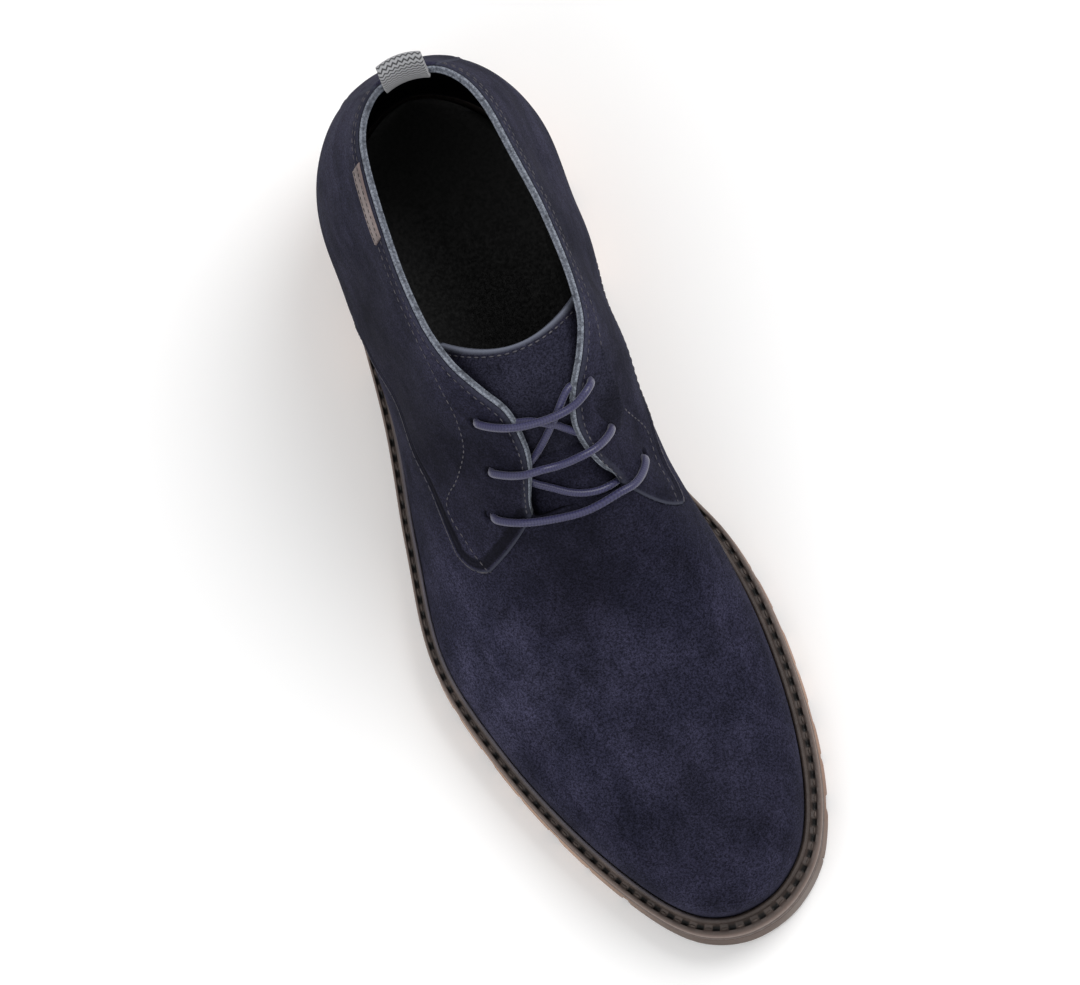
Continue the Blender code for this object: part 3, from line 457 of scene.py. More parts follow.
def weaveGroup():
    # slanted over-and-under strands on a piece's own UV, for braid and webbing
    group, given, out = newGroup("weave", [
        ("Vector", "NodeSocketVector", (0, 0, 0)), ("Across", "NodeSocketFloat", 8.0),
        ("Along", "NodeSocketFloat", 40.0), ("Base", "NodeSocketColor", colour(70, 68, 110)),
        ("Light", "NodeSocketColor", colour(112, 110, 150))],
        [("Colour", "NodeSocketColor"), ("Height", "NodeSocketFloat")])
    split = addNode(group, "ShaderNodeSeparateXYZ", {0: given["Vector"]})
    across, along = times(group, split.outputs[0], given["Across"]), times(group, split.outputs[1], given["Along"])
    waves = []
    for operation in ("ADD", "SUBTRACT"):
        slant = times(group, maths(group, operation, along, across), pi)
        waves.append(maths(group, "ABSOLUTE", maths(group, "SINE", slant)))
    pick = ramped(group, maths(group, "SINE", times(group, across, 2 * pi)), -0.25, 0.25)
    strand = addNode(group, "ShaderNodeMix", {0: pick, 2: waves[0], 3: waves[1]}, data_type="FLOAT").outputs[0]
    giveOut(group, out, Colour=mixed(group, ramped(group, strand, 0.15, 0.95), given["Base"], given["Light"]),
            Height=strand)
    return group


def gumGroup():
    # moulded gum rubber: cloudy, and darker where its mask of painted shade and dirt is
    group, given, out = newGroup("gumMottle", [
        ("Vector", "NodeSocketVector", (0, 0, 0)), ("ShadeAndDirt", "NodeSocketFloat", 0.0),
        ("Base", "NodeSocketColor", colour(172, 132, 102)), ("Shade", "NodeSocketColor", colour(138, 100, 76)),
        ("Dark", "NodeSocketColor", colour(60, 41, 29))],
        [("Colour", "NodeSocketColor"), ("Height", "NodeSocketFloat"), ("Roughness", "NodeSocketFloat")])
    slow, fine = noise(group, given["Vector"], 22.0, 3.0), noise(group, given["Vector"], 420.0, 3.0)
    body = mixed(group, ramped(group, slow, 0.35, 0.7), given["Base"], given["Shade"])
    body = mixed(group, ramped(group, fine, 0.3, 0.8, 0.0, 0.22), body, given["Shade"])
    giveOut(group, out, Colour=mixed(group, given["ShadeAndDirt"], body, given["Dark"]), Height=fine,
            Roughness=ramped(group, slow, 0.3, 0.7, 0.42, 0.58))
    return group


suedeNap, leatherGrain, weave, gumMottle = suedeGroup(), leatherGroup(), weaveGroup(), gumGroup()


def newMaterial(name, roughness=0.6, bump=0.3, distance=0.0003, sheen=0.0, sheenTint=(1, 1, 1, 1)):
    material = bpy.data.materials.new(name)
    material.use_nodes = True
    tree = material.node_tree
    shader = tree.nodes["Principled BSDF"]
    for label, value in (("Roughness", roughness), ("Sheen Weight", sheen), ("Sheen Roughness", 0.45),
                         ("Sheen Tint", sheenTint)):
        shader.inputs[label].default_value = value
    raised = addNode(tree, "ShaderNodeBump", {"Strength": bump, "Distance": distance})
    tree.links.new(raised.outputs[0], shader.inputs["Normal"])
    return material, tree, shader, raised, addNode(tree, "ShaderNodeTexCoord")


def mask(tree, name):
    return addNode(tree, "ShaderNodeAttribute", attribute_name=name).outputs["Fac"]


def masked(tree, toned, paints):
    # one paint after the other over the colour, each where its mask is
    for label, paint in paints:
        toned = mixed(tree, mask(tree, label), toned, colour(*paint))
    return toned


def finished(tree, shader, raised, effect, toned):
    tree.links.new(toned, shader.inputs["Base Color"])
    tree.links.new(effect.outputs["Height"], raised.inputs["Height"])
    if "Roughness" in effect.outputs:
        tree.links.new(effect.outputs["Roughness"], shader.inputs["Roughness"])


def roughEdge(name, base, light, dark, grey):
    # cut leather edge: fibres and dark pits, and a groove down its middle, darkened as painted shade
    material, tree, shader, raised, coords = newMaterial(name, 0.85, 0.9, 0.0005)
    fibre = noise(tree, coords.outputs["Object"], 1500.0, 3.0, 0.7)
    blot = noise(tree, coords.outputs["Object"], 420.0, 3.0, 0.6)
    toned = mixed(tree, ramped(tree, fibre, 0.35, 0.65), colour(*base), colour(*light))
    toned = mixed(tree, ramped(tree, blot, 0.5, 0.68, 0.0, 0.7), toned, colour(*dark))
    tree.links.new(masked(tree, toned, (("groove", dark), ("grey", grey))), shader.inputs["Base Color"])
    tree.links.new(fibre, raised.inputs["Height"])
    return material


def suede(name, base, light, dark, rawEdge, cloud, grain):
    material, tree, shader, raised, coords = newMaterial(name, 0.95, 0.5, 0.0004, 0.03, colour(120, 122, 150))
    shader.inputs["Specular IOR Level"].default_value = 0.05
    nap = addNode(tree, "ShaderNodeGroup", node_tree=suedeNap, values={
        "Vector": coords.outputs["Object"], "Base": colour(*base), "Light": colour(*light),
        "Dark": colour(*dark), "Cloud": cloud, "Grain": grain})
    toned = nap.outputs["Colour"]
    # painted highlight: the nap is lightened where its mask is
    toned = mixed(tree, mask(tree, "paintedHighlight"), toned, mixed(tree, 1.0, toned, (2.3, 2.3, 2.2, 1), "MULTIPLY"))
    # painted over one another: painted shade, the pale cut edge, then painted shade in the eyelets and the black of the
    # lining face
    toned = masked(tree, toned, (("paintedShade", (13, 13, 18)), ("raw", rawEdge), ("eyeletShadeAndLining", (6, 6, 9))))
    finished(tree, shader, raised, nap, toned)
    return material


def leather(name, base, worn, scale=700.0, bump=0.3, masks=()):
    material, tree, shader, raised, coords = newMaterial(name, 0.6, bump, 0.0002)
    grain = addNode(tree, "ShaderNodeGroup", node_tree=leatherGrain, values={
        "Vector": coords.outputs["Object"], "Base": colour(*base), "Worn": colour(*worn), "Scale": scale})
    finished(tree, shader, raised, grain, masked(tree, grain.outputs["Colour"], masks))
    return material


def woven(name, base, light, across, along, bump=0.6, distance=0.0003, rough=0.8):
    material, tree, shader, raised, coords = newMaterial(name, rough, bump, distance, 0.2)
    cloth = addNode(tree, "ShaderNodeGroup", node_tree=weave, values={
        "Vector": coords.outputs["UV"], "Base": colour(*base), "Light": colour(*light),
        "Across": across, "Along": along})
    finished(tree, shader, raised, cloth, cloth.outputs["Colour"])
    return material


def gum(name):
    material, tree, shader, raised, coords = newMaterial(name, 0.5, 0.12, 0.0002)
    rubber = addNode(tree, "ShaderNodeGroup", node_tree=gumMottle, values={
        "Vector": coords.outputs["Object"], "ShadeAndDirt": mask(tree, "shadeAndDirt")})
    finished(tree, shader, raised, rubber, rubber.outputs["Colour"])
    return material


# Paints are base, light or worn, then dark and cut edge
finishes = {
    "suede": suede("navySuede", (30, 30, 44), (53, 52, 71), (18, 18, 23), (66, 68, 80), 25.0, 1.3),
    "tongueSuede": suede("tongueSuede", (32, 32, 44), (48, 48, 63), (22, 22, 28), (112, 116, 130), 30.0, 1.2),
    "lining": leather("blackLining", (13, 13, 15), (24, 24, 27), 500.0),
    "binding": roughEdge("liningEdge", (90, 96, 108), (148, 154, 166), (42, 45, 54), (52, 54, 60)),
    "footbed": leather("blackFootbed", (10, 10, 11), (19, 19, 21), 900.0),
    # the welt's rim takes a painted highlight and its stitch holes painted shade
    "weltTop": leather("weltTop", (58, 48, 44), (88, 75, 69), 800.0, 0.4,
                       (("side", (120, 103, 95)), ("rimHighlight", (132, 128, 140)), ("pit", (5, 4, 4)))),
    "midsole": leather("midsoleEdge", (78, 62, 54), (96, 78, 69), 600.0, 0.2),
    "pit": leather("stitchHoles", (14, 11, 10), (24, 20, 18), 900.0),
    "gum": gum("gumRubber"),
    "lace": woven("laceBraid", (38, 37, 68), (56, 55, 90), 5.0, 1.0, 0.3, 0.0001, 0.36),
    "webbing": woven("loopWebbing", (44, 44, 47), (152, 153, 156), 8.0, 40.0),
    "tag": leather("tagLeather", (98, 84, 82), (140, 126, 124), 800.0, 0.4),
    "thread": leather("greyThread", (64, 54, 49), (96, 84, 78), 2500.0, 0.3),
    "darkThread": leather("navyThread", (64, 62, 70), (104, 100, 104), 2500.0, 0.3)}
print("materials ready")


# How every piece is made and joined to the frame

def meshFrom(name, bm):
    mesh = bpy.data.meshes.new(name)
    bm.to_mesh(mesh)
    bm.free()
    return mesh


def linked(name, data):
    made = bpy.data.objects.new(name, data)
    bpy.context.scene.collection.objects.link(made)
    return made


def finishPiece(name, bm, material, node, smooth=60):
    mesh = meshFrom(name, bm)
    mesh.materials.append(material)
    mesh.shade_smooth()
    if smooth < 180:
        mesh.set_sharp_from_angle(angle=math.radians(smooth))
    piece = linked(name, mesh)
    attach(piece, "root")
    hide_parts(node)
    return piece


def addWall(piece, thickness, offset=-1):
    wall = piece.modifiers.new("wall", "SOLIDIFY")
    wall.thickness, wall.offset = thickness * mm, offset


def bentGrid(across, along, shape, weld=False, flip=False):
    # a grid bent over shape(u, v), which gives world millimetres and masks by name
    bm = bmesh.new()
    bm.loops.layers.uv.new("UVMap")
    bmesh.ops.create_grid(bm, x_segments=across, y_segments=along, size=0.5, calc_uvs=True)
    flat = np.array([vert.co[:2] for vert in bm.verts]) + 0.5
    points, masks = shape(flat[:, 0], flat[:, 1])
    for vert, point in zip(bm.verts, points * mm):
        vert.co = point
    for key, values in masks.items():
        layer = bm.verts.layers.float.new(key)
        for vert, value in zip(bm.verts, values):
            vert[layer] = value
    if weld:
        bmesh.ops.remove_doubles(bm, verts=bm.verts, dist=2e-6)
        bmesh.ops.recalc_face_normals(bm, faces=bm.faces)
    elif flip:
        bmesh.ops.reverse_faces(bm, faces=bm.faces)
    return bm


def treeOf(piece):
    bm = bmesh.new()
    bm.from_mesh(piece.data)
    tree = BVHTree.FromBMesh(bm)
    bm.free()
    return tree


def nearLine(points, line, chunk=4000):
    # distance of each point from a dense line of points, a few thousand at a time
    return np.concatenate([np.min(np.linalg.norm(points[i:i + chunk, None] - line, axis=2), axis=1)
                           for i in range(0, len(points), chunk)])


def drapedOn(line, trees, out):
    # the line laid on the nearest of the surfaces, with its normals
    laid, normals = [], []
    for point in line:
        best = None
        for tree in trees:
            hit, normal, _, gap = tree.find_nearest(Vector(point) * mm)
            if best is None or gap < best[2]:
                best = (hit, normal, gap)
        laid.append(np.array(best[0]) / mm + np.array(best[1]) * out)
        normals.append(np.array(best[1]))
    return np.array(laid), np.array(normals)


def sideways(line, normals, distance):
    # the line moved across a surface, to the left of its run
    run = np.gradient(line, axis=0)
    across = np.cross(normals, run)
    across /= np.linalg.norm(across, axis=1)[:, None]
    return line + across * distance


def addBead(bm, centre, run, normal, size, segments=(6, 4)):
    # a long bead of thread, its size in millimetres along, across and up
    side = normal.cross(run).normalized()
    turn = Matrix((run, side, run.cross(side))).transposed().to_4x4()
    scale = Matrix.Diagonal((*(Vector(size) * 0.5 * mm), 1.0))
    bmesh.ops.create_uvsphere(bm, u_segments=segments[0], v_segments=segments[1], radius=1.0,
                              matrix=Matrix.Translation(Vector(centre) * mm) @ turn @ scale)


def addStitches(bm, line, normals, pitch, size):
    # beads of thread at even steps along a line
    count = max(2, int(round(lineLength(line) / pitch)))
    both = resample(np.hstack([line, normals]), 2 * count + 1)
    for k in range(1, 2 * count, 2):
        run = Vector(both[k + 1, :3] - both[k - 1, :3]).normalized()
        addBead(bm, both[k, :3], run, Vector(both[k, 3:]).normalized(), size)


def sew(bm, line, trees, pitch=None, size=None):
    # a row of stitches on the nearest of the surfaces
    line, normals = drapedOn(line, trees, stitch["proud"])
    addStitches(bm, line, normals, pitch or stitch["pitch"], size or stitch["size"])


# Eyelets: t and z of each pair, seen from the side
eyelets = {-1: [(148.4, 84.9), (158.6, 100.8), (172.2, 116.2)], 1: [(150.2, 77.0), (158.6, 98.8), (171.4, 117.6)]}
holeSize = {"radius": 1.9, "depth": 1.5, "lip": 0.2, "lipAt": 2.8, "lipWidth": 0.8, "darkFrom": 2.3, "darkTo": 1.5}
holes = {side: [onUpper(*findOnUpper(side, t, z)[0]) for t, z in eyelets[side]] for side in (-1, 1)}


def withHoles(points, normals):
    # dimples at the eyelets, and painted shade inside them
    dark = np.zeros(len(points))
    for side in (-1, 1):
        for centre, _ in holes[side]:
            away = np.linalg.norm(points - centre, axis=1)
            push = (-holeSize["depth"] * np.exp(-(away / holeSize["radius"]) ** 4)
                    + holeSize["lip"] * np.exp(-((away - holeSize["lipAt"]) / holeSize["lipWidth"]) ** 2))
            points = points + normals * push[:, None]
            dark = np.maximum(dark, softStep(holeSize["darkFrom"], holeSize["darkTo"], away))
    return points, dark


# Painted shade on the nap: beside the welt's rim, and round the throat beneath the laces
paintedShade = {"rim": 0.6, "rimFrom": 9.0, "throat": 0.42, "centre": (2.0, -6.0, 95.0), "near": 14.0, "far": 62.0}
# t, x, z, reach and strength of patches of painted highlight on the nap; a negative strength makes a patch of painted
# shade
paintedLightPatches = [(110, -34, 47, 25, 0.62), (75, -30, 42, 20, 0.25), (261, -23, 122, 22, 0.12), (37, 20, 45, 30, -0.34),
           (98, -1, 59, 24, -0.16), (119, 1, 73, 20, -0.25), (224, -30, 95, 34, -0.5), (186, -32, 79, 28, -0.45),
           (246, 35, 122, 26, -0.4), (203, 38, 104, 24, -0.25)]


def paintedShadeAt(points):
    # how much painted shade the nap gets: close to the welt's rim, round the throat, and in the patches listed as
    # darker
    above = points[:, 2] - levelAt(points[:, 1] + last["centreT"], 3)
    away = np.linalg.norm((points - paintedShade["centre"]) * (0.8, 1, 1), axis=1)
    rim = paintedShade["rim"] * softStep(paintedShade["rimFrom"], 1.0, above)
    return np.maximum(rim, paintedShade["throat"] * softStep(paintedShade["far"], paintedShade["near"], away)) + paintedLightAt(points, -1)


def paintedLightAt(points, sign):
    # how much painted highlight the nap gets for a sign of 1, and how much painted shade for -1
    found = np.zeros(len(points))
    for t, x, z, reach, strength in paintedLightPatches:
        if strength * sign > 0:
            away = np.linalg.norm(points - toWorld(t, x, z), axis=1)
            found += abs(strength) * np.exp(-(away / reach) ** 2 * 1.2)
    return found


# Upper: one shell, outer face, rounded top and lining face
shell = {"columns": 480, "outerRows": 72, "topRows": 5, "innerRows": 34, "cornerFoot": 110.0}


def shellRows():
    rows = [(0.0, 0.0, 0.0, last["riser"])]
    rows += [(k / shell["outerRows"], 0.0, 0.0, 0.0) for k in range(shell["outerRows"] + 1)]
    for k in range(1, shell["topRows"]):
        turn = pi * k / shell["topRows"]
        rows.append((1.0, last["wall"] / 2 * (math.cos(turn) - 1), 0.5 * math.sin(turn), 0.0))
    rows += [(1 - k / shell["innerRows"], -last["wall"], 0.0, 0.0) for k in range(shell["innerRows"] + 1)]
    rows.append((0.0, -last["wall"], 0.0, last["riser"]))
    rows.append(rows[0])
    return np.array(rows)


def upAt(phi):
    # direction out of the top edge, along the upper's face
    step = readGrid(gridPoints, phi, np.ones_like(phi)) - readGrid(gridPoints, phi, np.full_like(phi, 0.97))
    return step / np.linalg.norm(step, axis=-1)[..., None]


def makeShell():
    rows = shellRows()

    def shape(u, v):
        row = rows[np.rint(v * (len(rows) - 1)).astype(int)]
        phi = (2 * u - 1) * pi
        points = onUpper(phi, row[:, 0], row[:, 1])[0] + upAt(phi) * row[:, 2:3]
        points[:, 2] -= row[:, 3]
        # painted shade along the vamp's top edge at the throat, where it steps down to the tongue; the lining face is
        # painted black
        throat = np.abs(phi) < angleOf(shell["cornerFoot"])
        edge = np.where(throat, softStep(0.975, 0.995, row[:, 0]) * (row[:, 1] > -1.0), 0.0)
        inside = softStep(-0.6, -1.0, row[:, 1])
        return points, {"paintedShade": np.maximum(edge * 0.6, paintedShadeAt(points)), "paintedHighlight": paintedLightAt(points, 1),
                        "eyeletShadeAndLining": inside}
    bm = bentGrid(shell["columns"], len(rows) - 1, shape, weld=True)
    return finishPiece("upperShell", bm, finishes["suede"], "upper")


upperShell = makeShell()
print("upper shell", len(upperShell.data.polygons))

# Quarters: overlays over the vamp, from the raw front edge back to the heel
quarter = {"proud": 0.9, "lip": 0.9, "columns": 270, "rows": 120, "seams": (2.1, 4.4), "topSeam": 2.6,
           "groove": 0.22, "rawEdge": 0.95, "rawTop": 0.4,
           "band": {-1: (0.82, 0.5), 1: (0.4, 0.3)}}    # dark band behind the edge, at its tip and at its rear
# t and z of the lower edge, from the tip to where it runs under the welt
quarterEdge = {
    -1: [(133.9, 67.0), (136.2, 62.8), (142.2, 60.0), (147.5, 60.6), (163.6, 64.0), (180, 66.4), (196.4, 67.0),
         (204.6, 66.0), (212.8, 63.6), (221, 59.5), (225.1, 55.3), (229.2, 50.0), (232.5, 44.8), (234.9, 39.8)],
    1: [(133.6, 61.6), (135.8, 59.2), (142.3, 58.0), (147.2, 58.8), (163.6, 61.2), (180, 63.1), (196.4, 63.8),
        (204.6, 63.1), (212.8, 61.1), (221, 57.5), (225.1, 53.3), (229.2, 48.4), (232.5, 43.4), (234.9, 39.8)]}


def quarterLines(side):
    table = np.array(quarterEdge[side])
    low = smoothLine(findOnUpper(side, table[:, 0], table[:, 1]), 90)
    low[:, 1] = np.maximum(low[:, 1], 0)
    toHeel = np.column_stack([np.linspace(low[-1, 0], side * pi, 40)[1:], np.zeros(39)])
    low = np.vstack([low, toHeel])
    start, corner = low[0, 0], side * angleOf(shell["cornerFoot"])
    top = corner + (side * pi - corner) * (low[:, 0] - start) / (side * pi - start)
    return low, np.column_stack([top, np.ones(len(low))])


def makeQuarter(side, name):
    low, top = quarterLines(side)
    keys = runsOf(onUpper(low[:, 0], low[:, 1])[0])
    keys /= keys[-1]
    edge = onUpper(low[:88, 0], low[:88, 1])[0]
    front = np.column_stack([np.linspace(low[0, 0], top[0, 0], 60), np.linspace(low[0, 1], 1, 60)])
    border = np.vstack([resample(edge, 400), resample(onUpper(front[:, 0], front[:, 1])[0], 120)])

    def shape(u, v):
        u = u + (u ** 1.35 - u) * (1 - u)
        v = v ** 1.25
        lowPhi, lowRise = np.interp(u, keys, low[:, 0]), np.interp(u, keys, low[:, 1])
        phi = lowPhi * (1 - v) + np.interp(u, keys, top[:, 0]) * v
        rise = lowRise * (1 - v) + v
        flat, normals = onUpper(phi, rise)
        away = nearLine(flat, border)
        fromTop = belowTop(phi, rise)
        lip = quarter["lip"]
        out = quarter["proud"] * np.sqrt(1 - (1 - np.minimum(away / lip, 1)) ** 2) - 0.12 * (away < 0.05)
        roll = np.minimum(fromTop / 1.6, 1)
        out = out * (0.25 + 0.75 * np.sqrt(1 - (1 - roll) ** 2))
        groove = sum(np.exp(-((away - row) / 0.7) ** 2) for row in quarter["seams"])
        groove = groove + 0.7 * np.exp(-((fromTop - quarter["topSeam"]) / 0.8) ** 2)
        out = out - quarter["groove"] * groove * softStep(0.2, 1.5, away)
        points = flat + normals * out[:, None]
        points, dark = withHoles(points, normals)
        raw = softStep(1.2, 0.3, away) * quarter["rawEdge"] + softStep(2.6, 0.6, fromTop) * quarter["rawTop"]
        # the band is painted shade along the stitched channel behind the edge, darker at the tip than at the rear
        tip, rear = quarter["band"][side]
        band = rear + (tip - rear) * softStep(200, 165, points[:, 1] + last["centreT"])
        band = band * softStep(6.6, 4.4, away) * softStep(0.9, 1.8, away)
        return points, {"raw": np.clip(raw, 0, 1), "eyeletShadeAndLining": dark, "paintedHighlight": paintedLightAt(points, 1),
                        "paintedShade": np.maximum(paintedShadeAt(points), band)}
    bm = bentGrid(quarter["columns"], quarter["rows"], shape, flip=side < 0)
    piece = finishPiece(name, bm, finishes["suede"], "upper")
    return piece, onUpper(low[:90, 0], low[:90, 1])[0]


def belowTop(phi, rise):
    # how far below the top edge a point is, in millimetres
    here = readGrid(gridPoints, phi, rise)
    head = readGrid(gridPoints, phi, np.ones_like(phi))
    nearby = [np.linalg.norm(here - readGrid(gridPoints, np.clip(phi + k * 0.012, -pi, pi),
                                             np.ones_like(phi)), axis=1) for k in range(-8, 9)]
    return np.minimum(np.min(nearby, axis=0), np.linalg.norm(here - head, axis=1))


quarters, quarterBorders = {}, {}
for side, name in ((-1, "quarterLateral"), (1, "quarterMedial")):
    quarters[side], quarterBorders[side] = makeQuarter(side, name)
quarterTrees = {side: treeOf(piece) for side, piece in quarters.items()}
print("quarters", len(quarters[1].data.polygons))

# Edge of the lining, along collar and facings
binding = {"centre": -1.1, "half": 1.1, "high": 1.0, "groove": 0.35, "columns": 520, "ring": 14}


def makeBinding():
    corner = float(angleOf(shell["cornerFoot"]))

    def shape(u, v):
        around = corner + (2 * pi - 2 * corner) * u
        phi = np.where(around > pi, around - 2 * pi, around)
        turn = 2 * pi * v
        out, up = binding["half"] * np.cos(turn), binding["high"] * np.sin(turn)
        groove = np.exp(-(out / 0.42) ** 2) * (np.sin(turn) > 0)
        up = up - binding["groove"] * groove
        head, normals = onUpper(phi, np.ones_like(phi))
        points = head + normals * (binding["centre"] + out)[:, None] + upAt(phi) * (up + 0.15)[:, None]
        low = softStep(123.0, 112.0, footOf(phi))
        # the groove is darkened as painted shade
        return points, {"groove": groove * 0.75, "grey": 0.85 * low}
    bm = bentGrid(binding["columns"], binding["ring"], shape, weld=True)
    ends = [edge for edge in bm.edges if edge.is_boundary]
    bmesh.ops.holes_fill(bm, edges=ends)
    return finishPiece("liningEdge", bm, finishes["binding"], "upper")


makeBinding()

# A surface that lies further aside than this share of its distance isn't over or under the point
sideLimit = 0.7

# Tongue: middle line t and z, half width, fall and setback of the sides
tongueRows = np.array([
    (114, 64.5, 17, 6, 0), (124, 73.5, 18.5, 9, 0), (133, 80.0, 19, 12, 0), (140, 86.6, 18.5, 13, 0),
    (147, 96.5, 18.5, 13, 1), (154, 107.5, 20, 14, 2), (161, 117.5, 24.5, 16, 3), (168, 124.5, 25, 15, 4),
    (175, 129.5, 25, 13, 6), (181, 132.6, 24.5, 11, 8), (187, 134.6, 24, 9, 11)])
tongue = {"thick": 1.8, "columns": 60, "rows": 90, "clear": 2.75}


def tucked(points, distance):
    # pushes points inside until they lie this far from the upper's outer face
    moved = []
    for point in points:
        here = Vector(point) * mm
        for _ in range(3):
            hit, normal, _, gap = shellOuter.find_nearest(here)
            depth = (hit - here).dot(normal)
            if depth > distance * mm or (gap > 0 and abs(depth) < sideLimit * gap):
                break
            here = hit - normal * (distance + 0.02) * mm
        moved.append(np.array(here) / mm)
    return np.array(moved)


def outerFace():
    bm = bentGrid(360, 60, lambda u, v: (onUpper((2 * u - 1) * pi, v)[0], {}))
    tree = BVHTree.FromBMesh(bm)
    bm.free()
    return tree


shellOuter = outerFace()


def tonguePoint(u, v):
    # u across from -1 to 1, v from the vamp to the top edge
    at = v * (len(tongueRows) - 1)
    keys = np.arange(len(tongueRows))
    t, z, half, drop, back = (curveAt(keys, tongueRows[:, k], at) for k in range(5))
    x = crownAt(t, 2) + u * half
    return toWorld(t + back * u * u, x, z - drop * np.abs(u) ** 2.2)


def makeTongue():
    def shape(u, v):
        points = tucked(tonguePoint(2 * u - 1, v), tongue["clear"])
        seam = np.exp(-((1 - v) / 0.028 - 1.1) ** 2 * 2.5)
        points[:, 2] -= 0.25 * seam
        # painted shade on the tongue's lower part, beneath the laces
        return points, {"raw": 0.9 * softStep(0.983, 0.995, v), "paintedShade": 0.25 * softStep(0.9, 0.5, v)}
    bm = bentGrid(tongue["columns"], tongue["rows"], shape)
    piece = finishPiece("tongueSheet", bm, finishes["tongueSuede"], "tongue")
    addWall(piece, tongue["thick"])
    return piece


# The vamp's suede where it runs on under the laces: t, then x of both sides
throatRows = np.array([(132.5, -8.0, 28.0), (137, -7.0, 27.0), (140.5, -6.0, 25.8), (143, -5.6, 24.8),
                       (147, -4.0, 22.6), (151, -1.6, 20.4), (155, 0.4, 18.8)])
throat = {"columns": 44, "rows": 60, "lift": 0.45, "paintedShade": 0.35}


def makeThroat():
    def shape(u, v):
        t = throatRows[0, 0] + (throatRows[-1, 0] - throatRows[0, 0]) * v
        left, right = (np.interp(t, throatRows[:, 0], throatRows[:, k]) for k in (1, 2))
        x = left + (right - left) * u
        half, fall, z = (curveAt(tongueRows[:, 0], tongueRows[:, k], t) for k in (2, 3, 1))
        under = z - fall * np.abs((x - crownAt(t, 2)) / half) ** 2.2 + 0.25
        over = vampHeight(t, x) + throat["lift"] * softStep(132.5, 138.0, t) - 0.15
        sink = 0.8 * (softStep(0.1, 0.0, u) + softStep(0.9, 1.0, u)) * softStep(139, 143, t)
        share = softStep(138.5, 152.0, t)
        points = toWorld(t, x, over * (1 - share) + under * share - sink)
        # the sheet beneath the laces takes at least this much painted shade
        return points, {"paintedShade": np.maximum(paintedShadeAt(points), throat["paintedShade"])}
    bm = bentGrid(throat["columns"], throat["rows"], shape)
    return finishPiece("throatSheet", bm, finishes["suede"], "tongue")


throatTree, tongueTree = treeOf(makeThroat()), treeOf(makeTongue())
print("tongue ready")


# Laces: bars over the facings, crossings under them. Middle t, x and z of each bar
laceBars = [(136.0, 14.0, 93.8), (149.5, 12.0, 112.4), (162.0, 12.5, 127.0)]
# strands seen between the facings: from a lateral eyelet to a medial one, by way of t, x and lift over the tongue
laceCrossings = [
    (0, 2, [(160.5, 10.0, 0.4), (169.0, 19.5, -0.8)]),
    (2, 1, [(162.0, 9.5, 2.6)]),
    (1, 0, [(144.5, 9.5, 0.4)])]
# over and under are distances from the facings, and through is how far out the lace is as it passes an eyelet
lace = {"radius": 1.32, "steps": 150, "ring": 12, "over": 1.5, "under": 2.5, "braid": 1.0, "bow": 2.2,
        "through": (-3.6, -1.0, 0.8), "end": 5.0, "thinner": 0.94}


def tube(name, line, radius, node):
    # round braided lace along a line, its strands raised a little
    length = lineLength(line)
    steps = len(line) - 1
    run = np.gradient(line, axis=0)
    run /= np.linalg.norm(run, axis=1)[:, None]
    side = np.zeros_like(run)
    vector = np.cross(run[0], (0, 0, 1.0))
    for k in range(len(run)):
        vector = vector - run[k] * np.dot(vector, run[k])
        vector /= np.linalg.norm(vector)
        side[k] = vector
    up = np.cross(run, side)

    def shape(u, v):
        k = np.rint(v * steps).astype(int)
        turn = 2 * pi * u
        along = v * length / lace["braid"]
        waves = np.abs(np.sin(pi * (along + 4 * u))) + np.abs(np.sin(pi * (along - 4 * u)))
        size = radius * (0.975 + 0.025 * waves)
        return line[k] - side[k] * (np.cos(turn) * size)[:, None] + up[k] * (np.sin(turn) * size)[:, None], {}
    bm = bentGrid(lace["ring"], steps, shape, weld=True)
    layer = bm.loops.layers.uv.active
    for face in bm.faces:
        for loop in face.loops:
            loop[layer].uv.y *= length / lace["braid"]
    bmesh.ops.holes_fill(bm, edges=[edge for edge in bm.edges if edge.is_boundary])
    bmesh.ops.recalc_face_normals(bm, faces=bm.faces)
    return finishPiece(name, bm, finishes["lace"], node, 180)


def lifted(line, trees, distance, ends, beside=True):
    # keeps a line clear of the surfaces, but for this many points at both ends and, unless beside, where it is aside
    moved = line.copy()
    for k in range(ends, len(line) - ends):
        here = Vector(moved[k]) * mm
        for tree in trees:
            hit, normal, _, gap = tree.find_nearest(here)
            depth = (here - hit).dot(normal)
            if gap < 6 * mm and depth < distance * mm and (beside or abs(depth) > sideLimit * gap):
                here = here + normal * (distance * mm - depth)
        moved[k] = np.array(here) / mm
    return moved


def evened(line, rounds=6):
    for _ in range(rounds):
        line[1:-1] = line[1:-1] * 0.5 + (line[:-2] + line[2:]) * 0.25
    return line


def underFacings(line):
    # the parts of a strand beside the opening go beneath the facings
    t, x = line[:, 1] + last["centreT"], line[:, 0] + last["centreX"]
    facing = topEdge[3:10]
    left, right = (np.interp(t, facing[:, 1], facing[:, k]) for k in (2, 3))
    line = line.copy()
    for k in range(len(line)):
        side = -1 if x[k] < left[k] - 0.3 else 1 if x[k] > right[k] + 0.3 else 0
        here = Vector(line[k]) * mm
        for _ in range(2 if side else 0):
            hit, normal, _, gap = quarterTrees[side].find_nearest(here)
            depth = (hit - here).dot(normal)
            if depth < lace["under"] * mm and abs(depth) > sideLimit * gap:
                here = here - normal * (lace["under"] * mm - depth)
        line[k] = np.array(here) / mm
    return line


